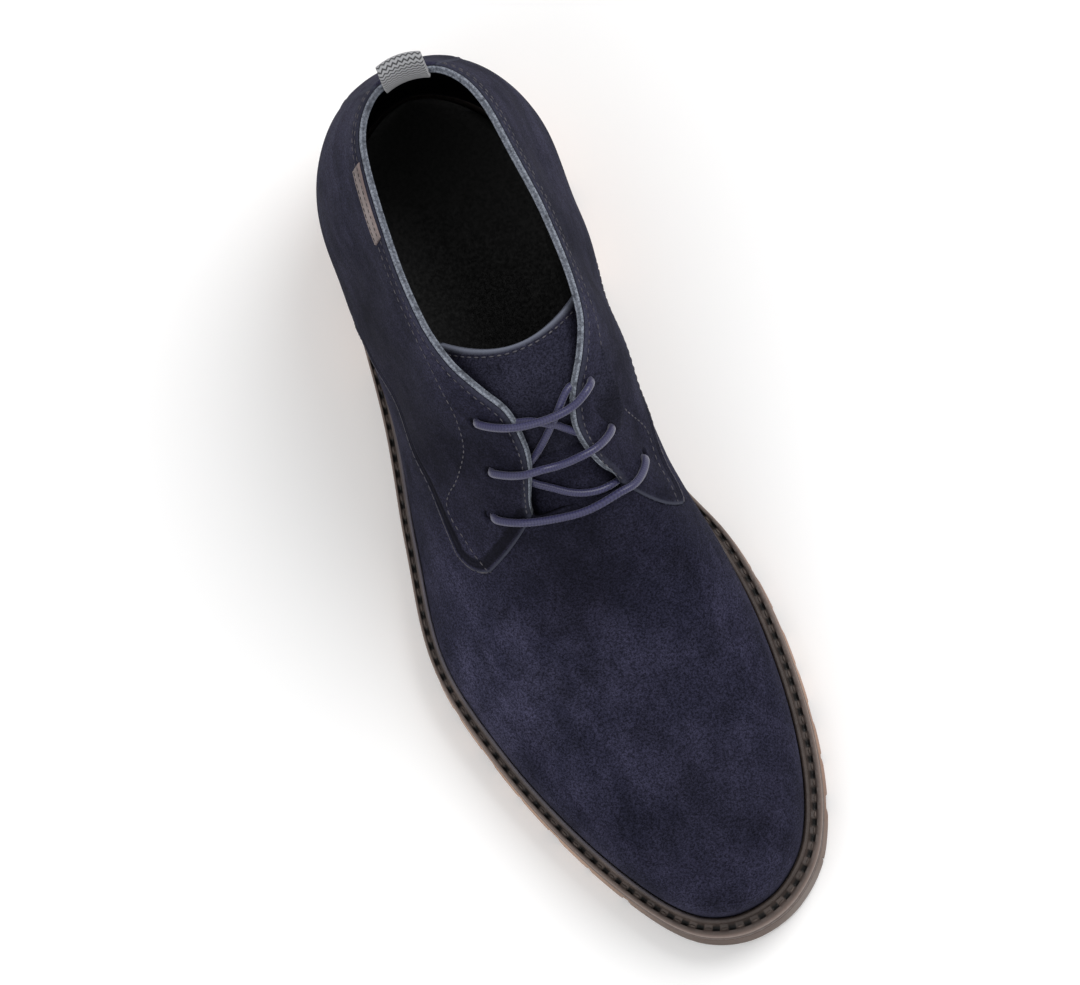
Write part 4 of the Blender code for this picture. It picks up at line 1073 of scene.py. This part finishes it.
def barLine(number, trees):
    # up out of a lateral eyelet, over the facings in a bow, and down into the medial one
    (left, leftOut), (right, rightOut) = holes[-1][number], holes[1][number]
    middle = toWorld(*laceBars[number])
    points = [left + leftOut * out for out in lace["through"]]
    for share in np.linspace(-0.86, 0.86, 13):
        end, out = (left, leftOut) if share < 0 else (right, rightOut)
        bow = 1 - abs(share) ** lace["bow"]
        flat = middle + (end + out * 1.5 - middle) * abs(share)
        flat[1] = end[1] + (middle[1] - end[1]) * bow
        flat[2] += (middle[2] - end[2]) * (bow - 1 + abs(share)) * 0.6
        points.append(flat)
    points += [right + rightOut * out for out in lace["through"][::-1]]
    line = smoothLine(points, lace["steps"] + 1)
    for _ in range(8):
        line = evened(lifted(line, trees, lace["over"], 12), 30)
    return line


def crossingLine(fromHole, toHole, stops):
    # from beneath one facing, over the tongue and beneath the other facing
    (left, leftOut), (right, rightOut) = holes[-1][fromHole], holes[1][toHole]
    way = [toWorld(t, x, np.interp(t, tongueRows[:, 0], tongueRows[:, 1]) + lace["radius"] + 0.6 + lift)
           for t, x, lift in stops]
    start, end = left - leftOut * lace["end"], right - rightOut * lace["end"]
    line = smoothLine([start, start + (way[0] - start) * 0.4 + (0, 0, 1), *way,
                       end + (way[-1] - end) * 0.4 + (0, 0, 1), end], 100)
    for _ in range(3):
        line = evened(lifted(line, [tongueTree, throatTree], lace["radius"] + 0.1, 1, False))
    return evened(underFacings(line), 4)


def makeLaces():
    trees = [quarterTrees[-1], quarterTrees[1], shellOuter]
    lines = [barLine(number, trees) for number in range(len(laceBars))]
    for number, line in enumerate(lines, 1):
        tube("laceBar%d" % number, line, lace["radius"], "lace_bar_%d" % number)
    strands = [crossingLine(*crossing) for crossing in laceCrossings]
    for number, line in enumerate(strands, 1):
        tube("laceCrossing%d" % number, line, lace["radius"] * lace["thinner"], "lace_bar_1")
    return [lineLength(line) for line in lines + strands]


laceLengths = makeLaces()
print("laces", [round(value) for value in laceLengths])

# Back strip, t of its edges at each height
stripEdge = np.array([(144.2, 279.0), (136, 280.6), (125, 283.0), (110, 286.2), (95, 290.2), (80, 293.6),
                      (66, 294.2), (54, 291.4), (43.2, 287.6)])
strip = {"out": 0.95, "proud": 0.8, "columns": 46, "rows": 110}


def stripAngles():
    # signed angles of both edges at even heights
    rises, edges = np.linspace(0.02, 1, 60), {}
    for side in (-1, 1):
        angles = []
        for rise in rises:
            phi = side * np.linspace(2.2, pi, 400)
            points = readGrid(gridPoints, phi, np.full_like(phi, rise))
            wanted = np.interp(points[:, 2], stripEdge[::-1, 0], stripEdge[::-1, 1]) - last["centreT"]
            angles.append(phi[np.argmax(points[:, 1] >= wanted)])
        edges[side] = np.array(angles)
    return rises, edges


def makeStrip():
    rises, edges = stripAngles()

    def shape(u, v):
        rise = 0.02 + 0.98 * v
        lateral, medial = np.interp(rise, rises, edges[-1]), np.interp(rise, rises, edges[1])
        span = (2 * pi + lateral) - medial
        around = medial + span * u
        phi = np.where(around > pi, around - 2 * pi, around)
        flat, normals = onUpper(phi, rise)
        away = np.minimum(*(np.linalg.norm(flat - onUpper(side, rise)[0], axis=1) for side in (medial, lateral)))
        out = strip["out"] * 0.6 + strip["proud"] * np.sqrt(1 - (1 - np.minimum(away / 0.9, 1)) ** 2)
        out = out - 0.2 * np.exp(-((away - 2.0) / 0.7) ** 2)
        out = out * (0.3 + 0.7 * np.sqrt(1 - (1 - np.minimum((1 - v) * 60, 1)) ** 2))
        return flat + normals * out[:, None], {"raw": softStep(1.5, 0.3, away) * 0.85}
    bm = bentGrid(strip["columns"], strip["rows"], shape)
    piece = finishPiece("backStrip", bm, finishes["suede"], "back_strip")
    return piece, [onUpper(edges[side], rises)[0] for side in (-1, 1)]


backStrip, stripLines = makeStrip()
stripTree = treeOf(backStrip)


# Collar tag on the lateral side, and the loop at the back
tag = {"from": 233.5, "to": 258.5, "high": 8.2, "out": 1.0, "dome": 0.65, "thick": 0.9, "seams": (1.7, 6.5)}
# t and z of the webbing, up its outside and down its inside
loopRows = [
    (281.0, 140.0), (280.4, 144.5), (279.4, 149.5), (279.5, 153.5), (280.3, 157.5), (281.8, 161.6), (281.7, 164.2),
    (279.8, 164.9), (277.9, 162.4), (276.6, 157.5), (276.7, 152.5), (277.6, 148.5), (278.8, 144.8), (279.8, 140.0)]
loop = {"centre": 6.6, "wide": 15.0, "bend": 19.0, "thick": 1.2, "steps": 120, "round": 0.3}


def tagTop(t):
    # height of the tag's top edge, a little below the collar's
    return np.interp(t, (233.3, 258.4), (141.9, 144.4)) - 0.1


def makeTag():
    keys, levels = np.linspace(tag["from"], tag["to"], 12), np.linspace(0, 1, 5)
    grid = np.array([findOnUpper(-1, keys, tagTop(keys) - tag["high"] * (1 - level)) for level in levels])

    def shape(u, v):
        t = tag["from"] + (tag["to"] - tag["from"]) * u
        k = np.minimum((v * 4).astype(int), 3)
        below, above = (np.array([[np.interp(oneT, keys, grid[row, :, c]) for c in (0, 1)]
                                  for oneT, row in zip(t, rows)]) for rows in (k, k + 1))
        place = below + (above - below) * (v * 4 - k)[:, None]
        flat, normals = onUpper(place[:, 0], place[:, 1])
        away = np.minimum(np.minimum(u, 1 - u) * (tag["to"] - tag["from"]), np.minimum(v, 1 - v) * tag["high"])
        out = tag["out"] + tag["dome"] * np.sqrt(1 - (1 - np.minimum(away / 0.7, 1)) ** 2)
        out = out - 0.22 * sum(np.exp(-(((1 - v) * tag["high"] - row) / 0.45) ** 2) for row in tag["seams"])
        return flat + normals * out[:, None], {}
    piece = finishPiece("collarTag", bentGrid(60, 24, shape, flip=True), finishes["tag"], "collar_tag")
    addWall(piece, tag["thick"])
    return piece


tagTree = treeOf(makeTag())


def makeLoop():
    line = smoothLine(loopRows, loop["steps"] + 1)

    def shape(u, v):
        k = np.rint(v * loop["steps"]).astype(int)
        x = loop["wide"] * (u - 0.5)
        return toWorld(line[k, 0] - x * x / (2 * loop["bend"]), loop["centre"] + x, line[k, 1]), {}
    bm = bentGrid(20, loop["steps"], shape)
    piece = finishPiece("pullLoop", bm, finishes["webbing"], "pull_loop")
    addWall(piece, loop["thick"], 0)
    edges = piece.modifiers.new("edges", "BEVEL")
    edges.width, edges.segments, edges.limit_method = loop["round"] * mm, 2, "ANGLE"


makeLoop()
print("strip, tag and loop ready")


# Seams: t and z of the facing's reinforcement stitch, and rows beside the edges
facingSeam = [(133.6, 66.3), (145.6, 67.5), (157.5, 70.0), (161, 75.5), (162.4, 82), (164.6, 90), (168.5, 100),
              (173.4, 108.2), (180, 115.9), (192.3, 124.0), (204.6, 128.6), (221, 132.6), (233.1, 135.2)]
stitch = {"pitch": 2.8, "size": (1.9, 0.5, 0.42), "proud": 0.05, "collar": 2.7, "second": 6.0, "strip": 2.0,
          "tongue": (2.6, (1.9, 0.6, 0.5)), "tag": (2.0, (1.5, 0.5, 0.4))}


def makeSeams():
    bm = bmesh.new()
    for side, stripLine in zip((-1, 1), stripLines):
        tree = [quarterTrees[side]]
        border = resample(quarterBorders[side], 300)
        normals = drapedOn(border, [shellOuter], 0)[1]
        for distance in quarter["seams"]:
            sew(bm, sideways(border, normals, distance * -side)[4:-2], tree)
        found = findOnUpper(side, *np.array(facingSeam).T)
        sew(bm, smoothLine(onUpper(*found.T)[0], 240), tree)
        phi = side * np.linspace(angleOf(118), angleOf(303), 300)
        head, up = onUpper(phi, np.ones_like(phi))[0], upAt(phi)
        sew(bm, head - up * stitch["collar"], tree)
        sew(bm, (head - up * stitch["second"])[np.abs(phi) > angleOf(230)], tree)
        normals = drapedOn(stripLine, [shellOuter], 0)[1]
        sew(bm, sideways(stripLine, normals, stitch["strip"] * side)[3:-2], [stripTree])
    return finishPiece("upperSeams", bm, finishes["darkThread"], "upper", 180)


def makeTongueSeam():
    bm = bmesh.new()
    u = np.linspace(-0.94, 0.94, 80)
    sew(bm, tonguePoint(u, np.full_like(u, 0.968)), [tongueTree], *stitch["tongue"])
    finishPiece("tongueSeam", bm, finishes["darkThread"], "tongue", 180)


def makeTagSeams():
    bm = bmesh.new()
    t = np.linspace(tag["from"] + 0.8, tag["to"] - 0.8, 40)
    for share in tag["seams"]:
        found = findOnUpper(-1, t, tagTop(t) - share)
        sew(bm, onUpper(*found.T, 1.6)[0], [tagTree], *stitch["tag"])
    finishPiece("tagSeams", bm, finishes["pit"], "collar_tag", 180)


upperSeams = makeSeams()
makeTongueSeam()
makeTagSeams()
print("seams", len(upperSeams.data.polygons))


# Welt: a profile carried round the shoe
welt = {"columns": 1500, "pitch": 5.3, "eyeletShadeAndLining": 0.8, "rimWidth": 1.7, "seam": 0.62,
        "thread": (2.4, 0.84, 0.6), "sink": 0.3, "wobble": 0.2}
# the line a row is measured from, distance inwards, level of the sole, height above it, then its masks:
# pit for the stitch holes, painted near-black as shade; side for the paler outer face; and a painted highlight on the
# rim's top
weltRows = [
    ("start", 0, 2, 0.3, 0, 1, 0), ("start", 0, 3, -1.3, 0, 1, 0), ("start", 0.07, 3, -0.75, 0, 1, 0),
    ("start", 0.3, 3, -0.3, 0, 0.75, 0), ("start", 0.7, 3, -0.05, 0, 0.3, 0), ("middle", -0.8, 3, 0, 0, 0, 0),
    ("middle", -0.45, 3, -0.3, 0.75, 0, 0), ("middle", 0.1, 3, -0.4, 1, 0, 0), ("middle", 0.6, 3, -0.25, 0.75, 0, 0),
    ("rim", -0.15, 3, 0, 0, 0, 0), ("rim", 0, 3, 0.5, 0, 0, 0), ("rim", 0.02, 3, 1.5, 0, 0, 0),
    ("rim", 0.3, 3, 2.2, 0, 0, 0), ("rim", 0.75, 3, 2.55, 0, 0, 0.25), ("rim", 1.2, 3, 2.5, 0, 0, 0.8),
    ("foot", -0.05, 3, 2.1, 0, 0, 0.5), ("foot", 0, 3, 0, 0, 0, 0), ("inner", 0, 3, 0, 0, 0, 0),
    ("inner", 0, 2, 0.3, 0, 0, 0), ("start", 0, 2, 0.3, 0, 1, 0)]


def weltLines(edge):
    # distances from the tread's edge, and the stitch row between the outer face and the rim
    start, foot = last["weltStep"], footInset(edge) - last["gap"]
    rim = foot - welt["rimWidth"]
    return {"start": start, "middle": start + (rim - start) * welt["seam"], "rim": rim, "foot": foot,
            "inner": footInset(edge) + last["wall"] + last["gap"]}


def weltMiddle(phi):
    edge = edgeAt(phi)
    t, x = insetBy(edge, weltLines(edge)["middle"])
    return toWorld(t, x, levelAt(t, 3))


def weltRuns():
    # length along the stitch row at even angles, in whole stitches
    phi = np.linspace(-pi, pi, 4001)
    runs = runsOf(weltMiddle(phi))
    return phi, runs / runs[-1] * round(runs[-1] / welt["pitch"])


def makeWelt():
    steps, runs = weltRuns()
    names = [row[0] for row in weltRows]
    table = np.array([row[1:] for row in weltRows])

    def shape(u, v):
        phi = (2 * u - 1) * pi
        edge = edgeAt(phi)
        lines = weltLines(edge)
        k = np.rint(v * (len(weltRows) - 1)).astype(int)
        inwards, level, above, pit, side, rimHighlight = table[k].T
        t, x = insetBy(edge, np.choose(k, [lines[name] + 0 * phi for name in names]) + inwards)
        z = np.where(level == 2, levelAt(t, 2), levelAt(t, 3)) + above
        # the stitch holes are sunk and painted near-black as shade; the rim's painted highlight shows on the lateral
        # side only
        pit = pit * softStep(0.27, 0.18, np.abs(np.mod(np.interp(phi, steps, runs), 1) - 0.5))
        return toWorld(t, x, z - welt["eyeletShadeAndLining"] * pit), {
            "side": side, "rimHighlight": rimHighlight * softStep(10, -30, x), "pit": softStep(0.15, 0.6, pit)}
    bm = bentGrid(welt["columns"], len(weltRows) - 1, shape, weld=True)
    finishPiece("weltStrip", bm, finishes["weltTop"], "welt", 55)


def makeWeltStitches():
    steps, runs = weltRuns()
    threads = bmesh.new()
    for count in range(int(round(runs[-1]))):
        phi = np.interp(count + np.array([-0.25, 0.0, 0.25]), runs, steps)
        spots = weltMiddle(phi)
        run = Vector(spots[2] - spots[0]).normalized()
        length, wide, high = welt["thread"]
        length *= 1 + welt["wobble"] * (dice.random() - 0.5)
        addBead(threads, spots[1] - (0, 0, welt["sink"]), run, Vector((0, 0, 1)), (length, wide, high), (8, 6))
    finishPiece("weltThread", threads, finishes["thread"], "welt", 180)


makeWelt()
makeWeltStitches()
print("welt ready")


def roundAngle(u):
    # signed angle at u, kept off the very tip of the toe
    phi = (2 * u - 1) * pi
    return np.where(np.abs(phi) < 1e-7, 1e-7, phi)


def offSpine(phi, share, insetOf):
    # t and x at this share of the way from the sole's middle line to its inset edge
    edge, mirror = edgeAt(phi), edgeAt(-phi)
    (t, x), (_, otherX) = insetBy(edge, insetOf(edge)), insetBy(mirror, insetOf(mirror))
    spine = (x + otherX) / 2
    return t, spine + (x - spine) * share


def slabShape(rows):
    # rows from the spine out to the edge, up the side and back: share of the way, inset, level and height above it
    table = np.array(rows, float)

    def shape(u, v):
        share, inset, level, above = table[np.rint(v * (len(rows) - 1)).astype(int)].T
        t, x = offSpine(roundAngle(u), share, lambda edge: inset)
        z = np.choose(level.astype(int), [0 * t, levelAt(t, 1), levelAt(t, 2), levelAt(t, 3)]) + above
        return toWorld(t, x, z), {}
    return shape


def makeMidsole():
    step, top = last["outsoleStep"], last["weltStep"]
    rows = [(0, step, 1, 0.3), (1, step + 0.15, 1, 0.3), (1, step, 1, 0.55), (1, (step + top) / 2, 1, 1.8),
            (1, top, 2, -0.25), (1, top + 0.15, 2, 0), (0, top, 2, 0)]
    bm = bentGrid(480, len(rows) - 1, slabShape(rows), weld=True)
    finishPiece("midsoleBand", bm, finishes["midsole"], "midsole", 40)


makeMidsole()

# Outsole: underside from toe to heel, then the notches between the lugs
underside = [(-9, 3.6), (6, 2.0), (16, 0.8), (30, 0.0), (84, 0.0), (98, 1.0), (110, 2.2), (132, 4.2), (153, 5.7),
             (154.5, 10.2), (214.4, 15.1), (217.7, 5.4), (223.5, 5.4), (226.2, 0.0), (315, 0.0)]
# t, width at the tread and at the top, height, reach
notches = {
    -1: [(9.5, 2.6, 1.0, 6.2, 8), (27, 8.8, 5.0, 6.0, 21), (41, 4.0, 1.2, 5.6, 9), (55.5, 10.2, 6.4, 5.8, 23),
         (71, 4.8, 1.4, 5.4, 9), (87.5, 11.4, 7.2, 6.0, 23), (105, 6.6, 2.6, 7.4, 10), (121.5, 12.8, 8.0, 9.0, 23),
         (140.5, 6.8, 3.0, 10.4, 10), (236.8, 2.4, 1.2, 2.6, 6), (253, 8.4, 6.0, 6.4, 17), (268, 2.0, 1.2, 5.4, 7),
         (284.5, 9.2, 6.6, 6.8, 15)],
    1: [(17, 3.0, 1.0, 5.8, 8), (34, 8.8, 5.0, 5.8, 21), (49, 4.0, 1.2, 5.6, 9), (64, 10.2, 6.4, 5.8, 23),
        (80, 4.8, 1.4, 5.4, 9), (97, 11.4, 7.2, 7.0, 23), (114, 6.6, 2.6, 8.0, 10), (131, 11.8, 7.4, 9.6, 21),
        (145.5, 5.0, 2.4, 10.4, 10), (242, 2.4, 1.2, 2.6, 6), (256, 8.4, 6.0, 6.4, 17), (271, 2.0, 1.2, 5.4, 7),
        (285.5, 9.2, 6.6, 6.8, 15)]}
hollows = [(24.0, 149.0, 19.0), (238.0, 288.0, 16.0)]       # from t to t, and border left round them
centreLugs = [(42, 11, 22), (70, 7, 28), (100, 1, 28), (128, -2, 26), (262, 2, 20)]     # t, x, length of both bars
tread = {"depth": 4.2, "bar": 6.5, "below": -6.0, "overrun": 5.0, "roof": 2.0, "halfWidth": 75.0}


def cutter(name, bm):
    bmesh.ops.recalc_face_normals(bm, faces=bm.faces)
    return linked(name, meshFrom(name, bm))


def addPrism(bm, corners, reach):
    face = bm.faces.new([bm.verts.new(Vector(corner) * mm) for corner in corners])
    grown = bmesh.ops.extrude_face_region(bm, geom=[face])["geom"]
    bmesh.ops.translate(bm, vec=Vector(reach) * mm, verts=[v for v in grown if isinstance(v, bmesh.types.BMVert)])


def undersideAt(t):
    return float(np.interp(t, *np.array(underside).T))


def cutBy(target, tool):
    step = target.modifiers.new(tool.name, "BOOLEAN")
    step.operation, step.solver, step.object = "DIFFERENCE", "EXACT", tool


def undersideCutter():
    bm = bmesh.new()
    outline = list(underside) + [(underside[i][0], tread["below"]) for i in (-1, 0)]
    addPrism(bm, [toWorld(t, -tread["halfWidth"], z) for t, z in outline], (2 * tread["halfWidth"], 0, 0))
    return cutter("undersideCut", bm)


def hollowCutter(start, end, border):
    # an open pocket less the crossed bars of its lugs, and the bars
    phi = np.linspace(0.3, pi - 0.05, 90)
    (leftT, leftX), (rightT, rightX) = (insetBy(edgeAt(side * phi), border) for side in (-1, 1))
    t = (leftT + rightT) / 2
    keep = (t > start) & (t < end) & (rightX - leftX > 4)
    outline = list(zip(t[keep], leftX[keep])) + list(zip(t[keep][::-1], rightX[keep][::-1]))
    bm = bmesh.new()
    addPrism(bm, [toWorld(a, b, tread["below"]) for a, b in outline], (0, 0, 1))
    for vert in bm.verts:
        if vert.co.z > (tread["below"] + 0.5) * mm:
            vert.co.z = (undersideAt(vert.co.y / mm + last["centreT"]) + tread["depth"]) * mm
    hollow, bars = cutter("hollow", bm), []
    for lugT, lugX, length in [row for row in centreLugs if start < row[0] < end]:
        for turn in (-1, 1):
            bm = bmesh.new()
            spot = Matrix.Translation(Vector(toWorld(lugT, lugX, 0.0)) * mm)
            size = Matrix.Diagonal((length * mm, tread["bar"] * mm, 60 * mm, 1))
            bmesh.ops.create_cube(bm, size=1.0, matrix=spot @ Matrix.Rotation(turn * pi / 4, 4, "Z") @ size)
            bars.append(cutter("lug", bm))
            cutBy(hollow, bars[-1])
    return hollow, bars


def notchCutter():
    # wedges between the lugs, from outside the edge inwards
    bm = bmesh.new()
    for side, table in notches.items():
        for t, low, high, height, reach in table:
            edge = edgeAt(side * angleOf(t))
            floor = undersideAt(t)
            top = max(height, floor + tread["roof"])
            slope = (low - high) / 2 / (top - floor)
            wide = high / 2 + slope * (top - tread["below"])
            startT, startX = insetBy(edge, -tread["overrun"])
            corners = [toWorld(startT + shift * abs(edge[4]), startX - shift * edge[3] * side, z)
                       for shift, z in ((-wide, tread["below"]), (wide, tread["below"]), (high / 2, top),
                                        (-high / 2, top))]
            addPrism(bm, corners, np.array((edge[4], edge[3], 0)) * (reach + tread["overrun"]))
    return cutter("notchCut", bm)


def makeOutsole():
    step = last["outsoleStep"]
    rows = [(0, 0, 0, -2), (0.6, 0, 0, -2), (1, 0, 0, -2), (1, 0, 0, 3.5), (1, 0.25, 0, 7.0), (1, step * 0.75, 1, -1.6),
            (1, step, 1, -0.3), (1, step + 0.2, 1, 0), (0.6, step, 1, 0), (0, step, 1, 0)]
    bm = bentGrid(400, len(rows) - 1, slabShape(rows), weld=True)
    sole = finishPiece("outsoleGum", bm, finishes["gum"], "outsole", 180)
    tools = [undersideCutter()]
    cutBy(sole, tools[0])
    for row in hollows:
        hollow, bars = hollowCutter(*row)
        cutBy(sole, hollow)
        tools += [hollow, *bars]
    tools.append(notchCutter())
    cutBy(sole, tools[-1])
    plain = sole.data
    sole.data = bpy.data.meshes.new_from_object(sole.evaluated_get(bpy.context.evaluated_depsgraph_get()))
    sole.modifiers.clear()
    bpy.data.meshes.remove(plain)
    for tool in tools:
        bpy.data.objects.remove(tool, do_unlink=True)
    finishSole(sole)
    return sole


# How dark the gum is painted: shade at toe and heel, and shade with some dirt close to the floor and inwards from the
# edge
gumShading = {"ends": 0.88, "heel": 0.6, "low": 0.3, "inside": 0.85}


def finishSole(sole):
    bm = bmesh.new()
    bm.from_mesh(sole.data)
    bmesh.ops.remove_doubles(bm, verts=bm.verts, dist=2e-5)
    bmesh.ops.dissolve_degenerate(bm, edges=bm.edges, dist=1e-5)
    layer = bm.verts.layers.float.new("shadeAndDirt")
    outline = np.vstack([halves[-1][:, :2], halves[1][:, :2]])
    points = np.array([vert.co for vert in bm.verts]) / mm
    away = nearLine(points * (1, 1, 0), toWorld(outline[:, 0], outline[:, 1], 0.0))
    for vert, distance, t, z in zip(bm.verts, away, points[:, 1] + last["centreT"], points[:, 2]):
        # painted shade at toe and heel; darker near the floor and inwards from the edge, which is painted shade with
        # some dirt
        ends = gumShading["ends"] * max(softStep(55.0, 8.0, t), gumShading["heel"] * softStep(285.0, 306.0, t))
        low = gumShading["low"] * softStep(5.0, 0.0, z - undersideAt(t))
        vert[layer] = float(max(softStep(1.8, 8.0, distance) * gumShading["inside"], ends, low))
    for face in bm.faces:
        face.smooth = face.normal.z > -0.6
    for edge in bm.edges:
        edge.smooth = math.degrees(edge.calc_face_angle(0)) < 28
    bm.to_mesh(sole.data)
    bm.free()


# Short ribs moulded in the side: side, t, lowest z, count, length
ribs = [(1, 158.0, 7.6, 3, 8.0), (-1, 158.0, 7.6, 3, 8.0), (1, 249.0, 1.6, 2, 5.0), (1, 262.5, 1.6, 2, 5.0),
        (-1, 245.0, 1.6, 2, 5.0), (-1, 260.5, 1.6, 2, 5.0), (1, 277.0, 1.6, 2, 5.0), (-1, 276.0, 1.6, 2, 5.0)]


rib = {"pitch": 1.6, "proud": 0.8, "high": 0.6, "round": 0.15}


def makeRibs():
    bm = bmesh.new()
    for side, t, lowest, count, length in ribs:
        edge = edgeAt(side * angleOf(t))
        for z in lowest + rib["pitch"] * np.arange(count):
            spot = Vector(toWorld(*insetBy(edge, 0.02 + 0.035 * max(0.0, z - 3.5)), z)) * mm
            inward = Vector((edge[4], edge[3], 0))
            turn = Matrix((inward, Vector((-inward.y, inward.x, 0)), Vector((0, 0, 1)))).transposed().to_4x4()
            size = Matrix.Diagonal((rib["proud"] * mm, length * mm, rib["high"] * mm, 1))
            bmesh.ops.create_cube(bm, size=1.0, matrix=Matrix.Translation(spot) @ turn @ size)
    bmesh.ops.bevel(bm, geom=bm.edges, offset=rib["round"] * mm, segments=2, profile=0.5, affect="EDGES", material=-1)
    finishPiece("soleRibs", bm, finishes["gum"], "outsole", 180)


makeRibs()
outsole = makeOutsole()
print("outsole", len(outsole.data.polygons))


# Footbed: clearance to the upper, height of its foam, then rows of share of the way out and dome
footbed = {"clear": 0.9, "foam": 2.8}
footbedRows = np.array([(0, 0.0), (0.5, 0.0), (0.85, 0.0), (1.0, 0.0), (1.0, 1.0), (0.97, 1.5), (0.85, 1.1),
                        (0.6, 0.75), (0.3, 0.62), (0, 0.6)])


def makeFootbed():
    def shape(u, v):
        share, up = footbedRows[np.rint(v * (len(footbedRows) - 1)).astype(int)].T
        t, x = offSpine(roundAngle(u), share, lambda edge: footInset(edge) + last["wall"] + footbed["clear"])
        low, high = levelAt(t, 2) + last["gap"], levelAt(t, 3) + footbed["foam"]
        return toWorld(t, x, np.where(up == 0, low, high + up)), {}
    bm = bentGrid(300, len(footbedRows) - 1, shape, weld=True)
    finishPiece("footbedSheet", bm, finishes["footbed"], "insole", 60)


makeFootbed()
print("footbed ready")


# Floor, lights and camera
stage = {"floor": 16.0, "key": 19.0, "fill": 9.0, "sky": 0.62, "glow": 0.07}
view = {"nadirT": -430.0, "nadirX": 90.0, "height": 2975.0, "lens": 304.0, "aim": (-2.0, 2.0, 55.0), "roll": 19.82}


def makeFloor():
    bm = bmesh.new()
    bmesh.ops.create_grid(bm, x_segments=8, y_segments=8, size=stage["floor"] / 2)
    mesh = meshFrom("floor", bm)
    material, tree, shader, _, coords = newMaterial("paleFloor", 0.9, 0.0)
    tone = noise(tree, coords.outputs["Object"], 3.0, 2.0)
    tree.links.new(mixed(tree, tone, (0.95, 0.95, 0.95, 1), (0.97, 0.97, 0.97, 1)), shader.inputs["Base Color"])
    shader.inputs["Emission Color"].default_value = (1, 1, 1, 1)
    shader.inputs["Emission Strength"].default_value = stage["glow"]
    mesh.materials.append(material)
    linked("floor", mesh)


def addLight(name, spot, size, power, target=(0, 0, 0.05)):
    lamp = bpy.data.lights.new(name, "AREA")
    lamp.shape, lamp.size, lamp.energy = "DISK", size, power
    made = linked(name, lamp)
    made.location = spot
    made.rotation_euler = (Vector(target) - Vector(spot)).to_track_quat("-Z", "Y").to_euler()


def makeCamera():
    data = bpy.data.cameras.new("camera")
    data.lens, data.sensor_width, data.sensor_fit = view["lens"], 36.0, "HORIZONTAL"
    data.clip_end = 20.0
    spot = Vector(toWorld(view["nadirT"], view["nadirX"], view["height"])) * mm
    forward = (Vector(view["aim"]) * mm - spot).normalized()
    roll = math.radians(view["roll"])
    up = Vector((math.sin(roll), math.cos(roll), 0))
    right = forward.cross(up).normalized()
    up = right.cross(forward)
    made = linked("camera", data)
    made.matrix_world = Matrix.Translation(spot) @ Matrix((right, up, -forward)).transposed().to_4x4()
    bpy.context.scene.camera = made


makeFloor()
addLight("key", (0.95, 0.5, 1.7), 1.1, stage["key"])
addLight("fill", (-0.9, -0.9, 1.6), 1.6, stage["fill"])
world = bpy.data.worlds.new("studio")
world.use_nodes = True
world.node_tree.nodes["Background"].inputs[0].default_value = (1, 1, 1, 1)
world.node_tree.nodes["Background"].inputs[1].default_value = stage["sky"]
bpy.context.scene.world = world
bpy.context.scene.view_settings.view_transform = "Standard"
makeCamera()
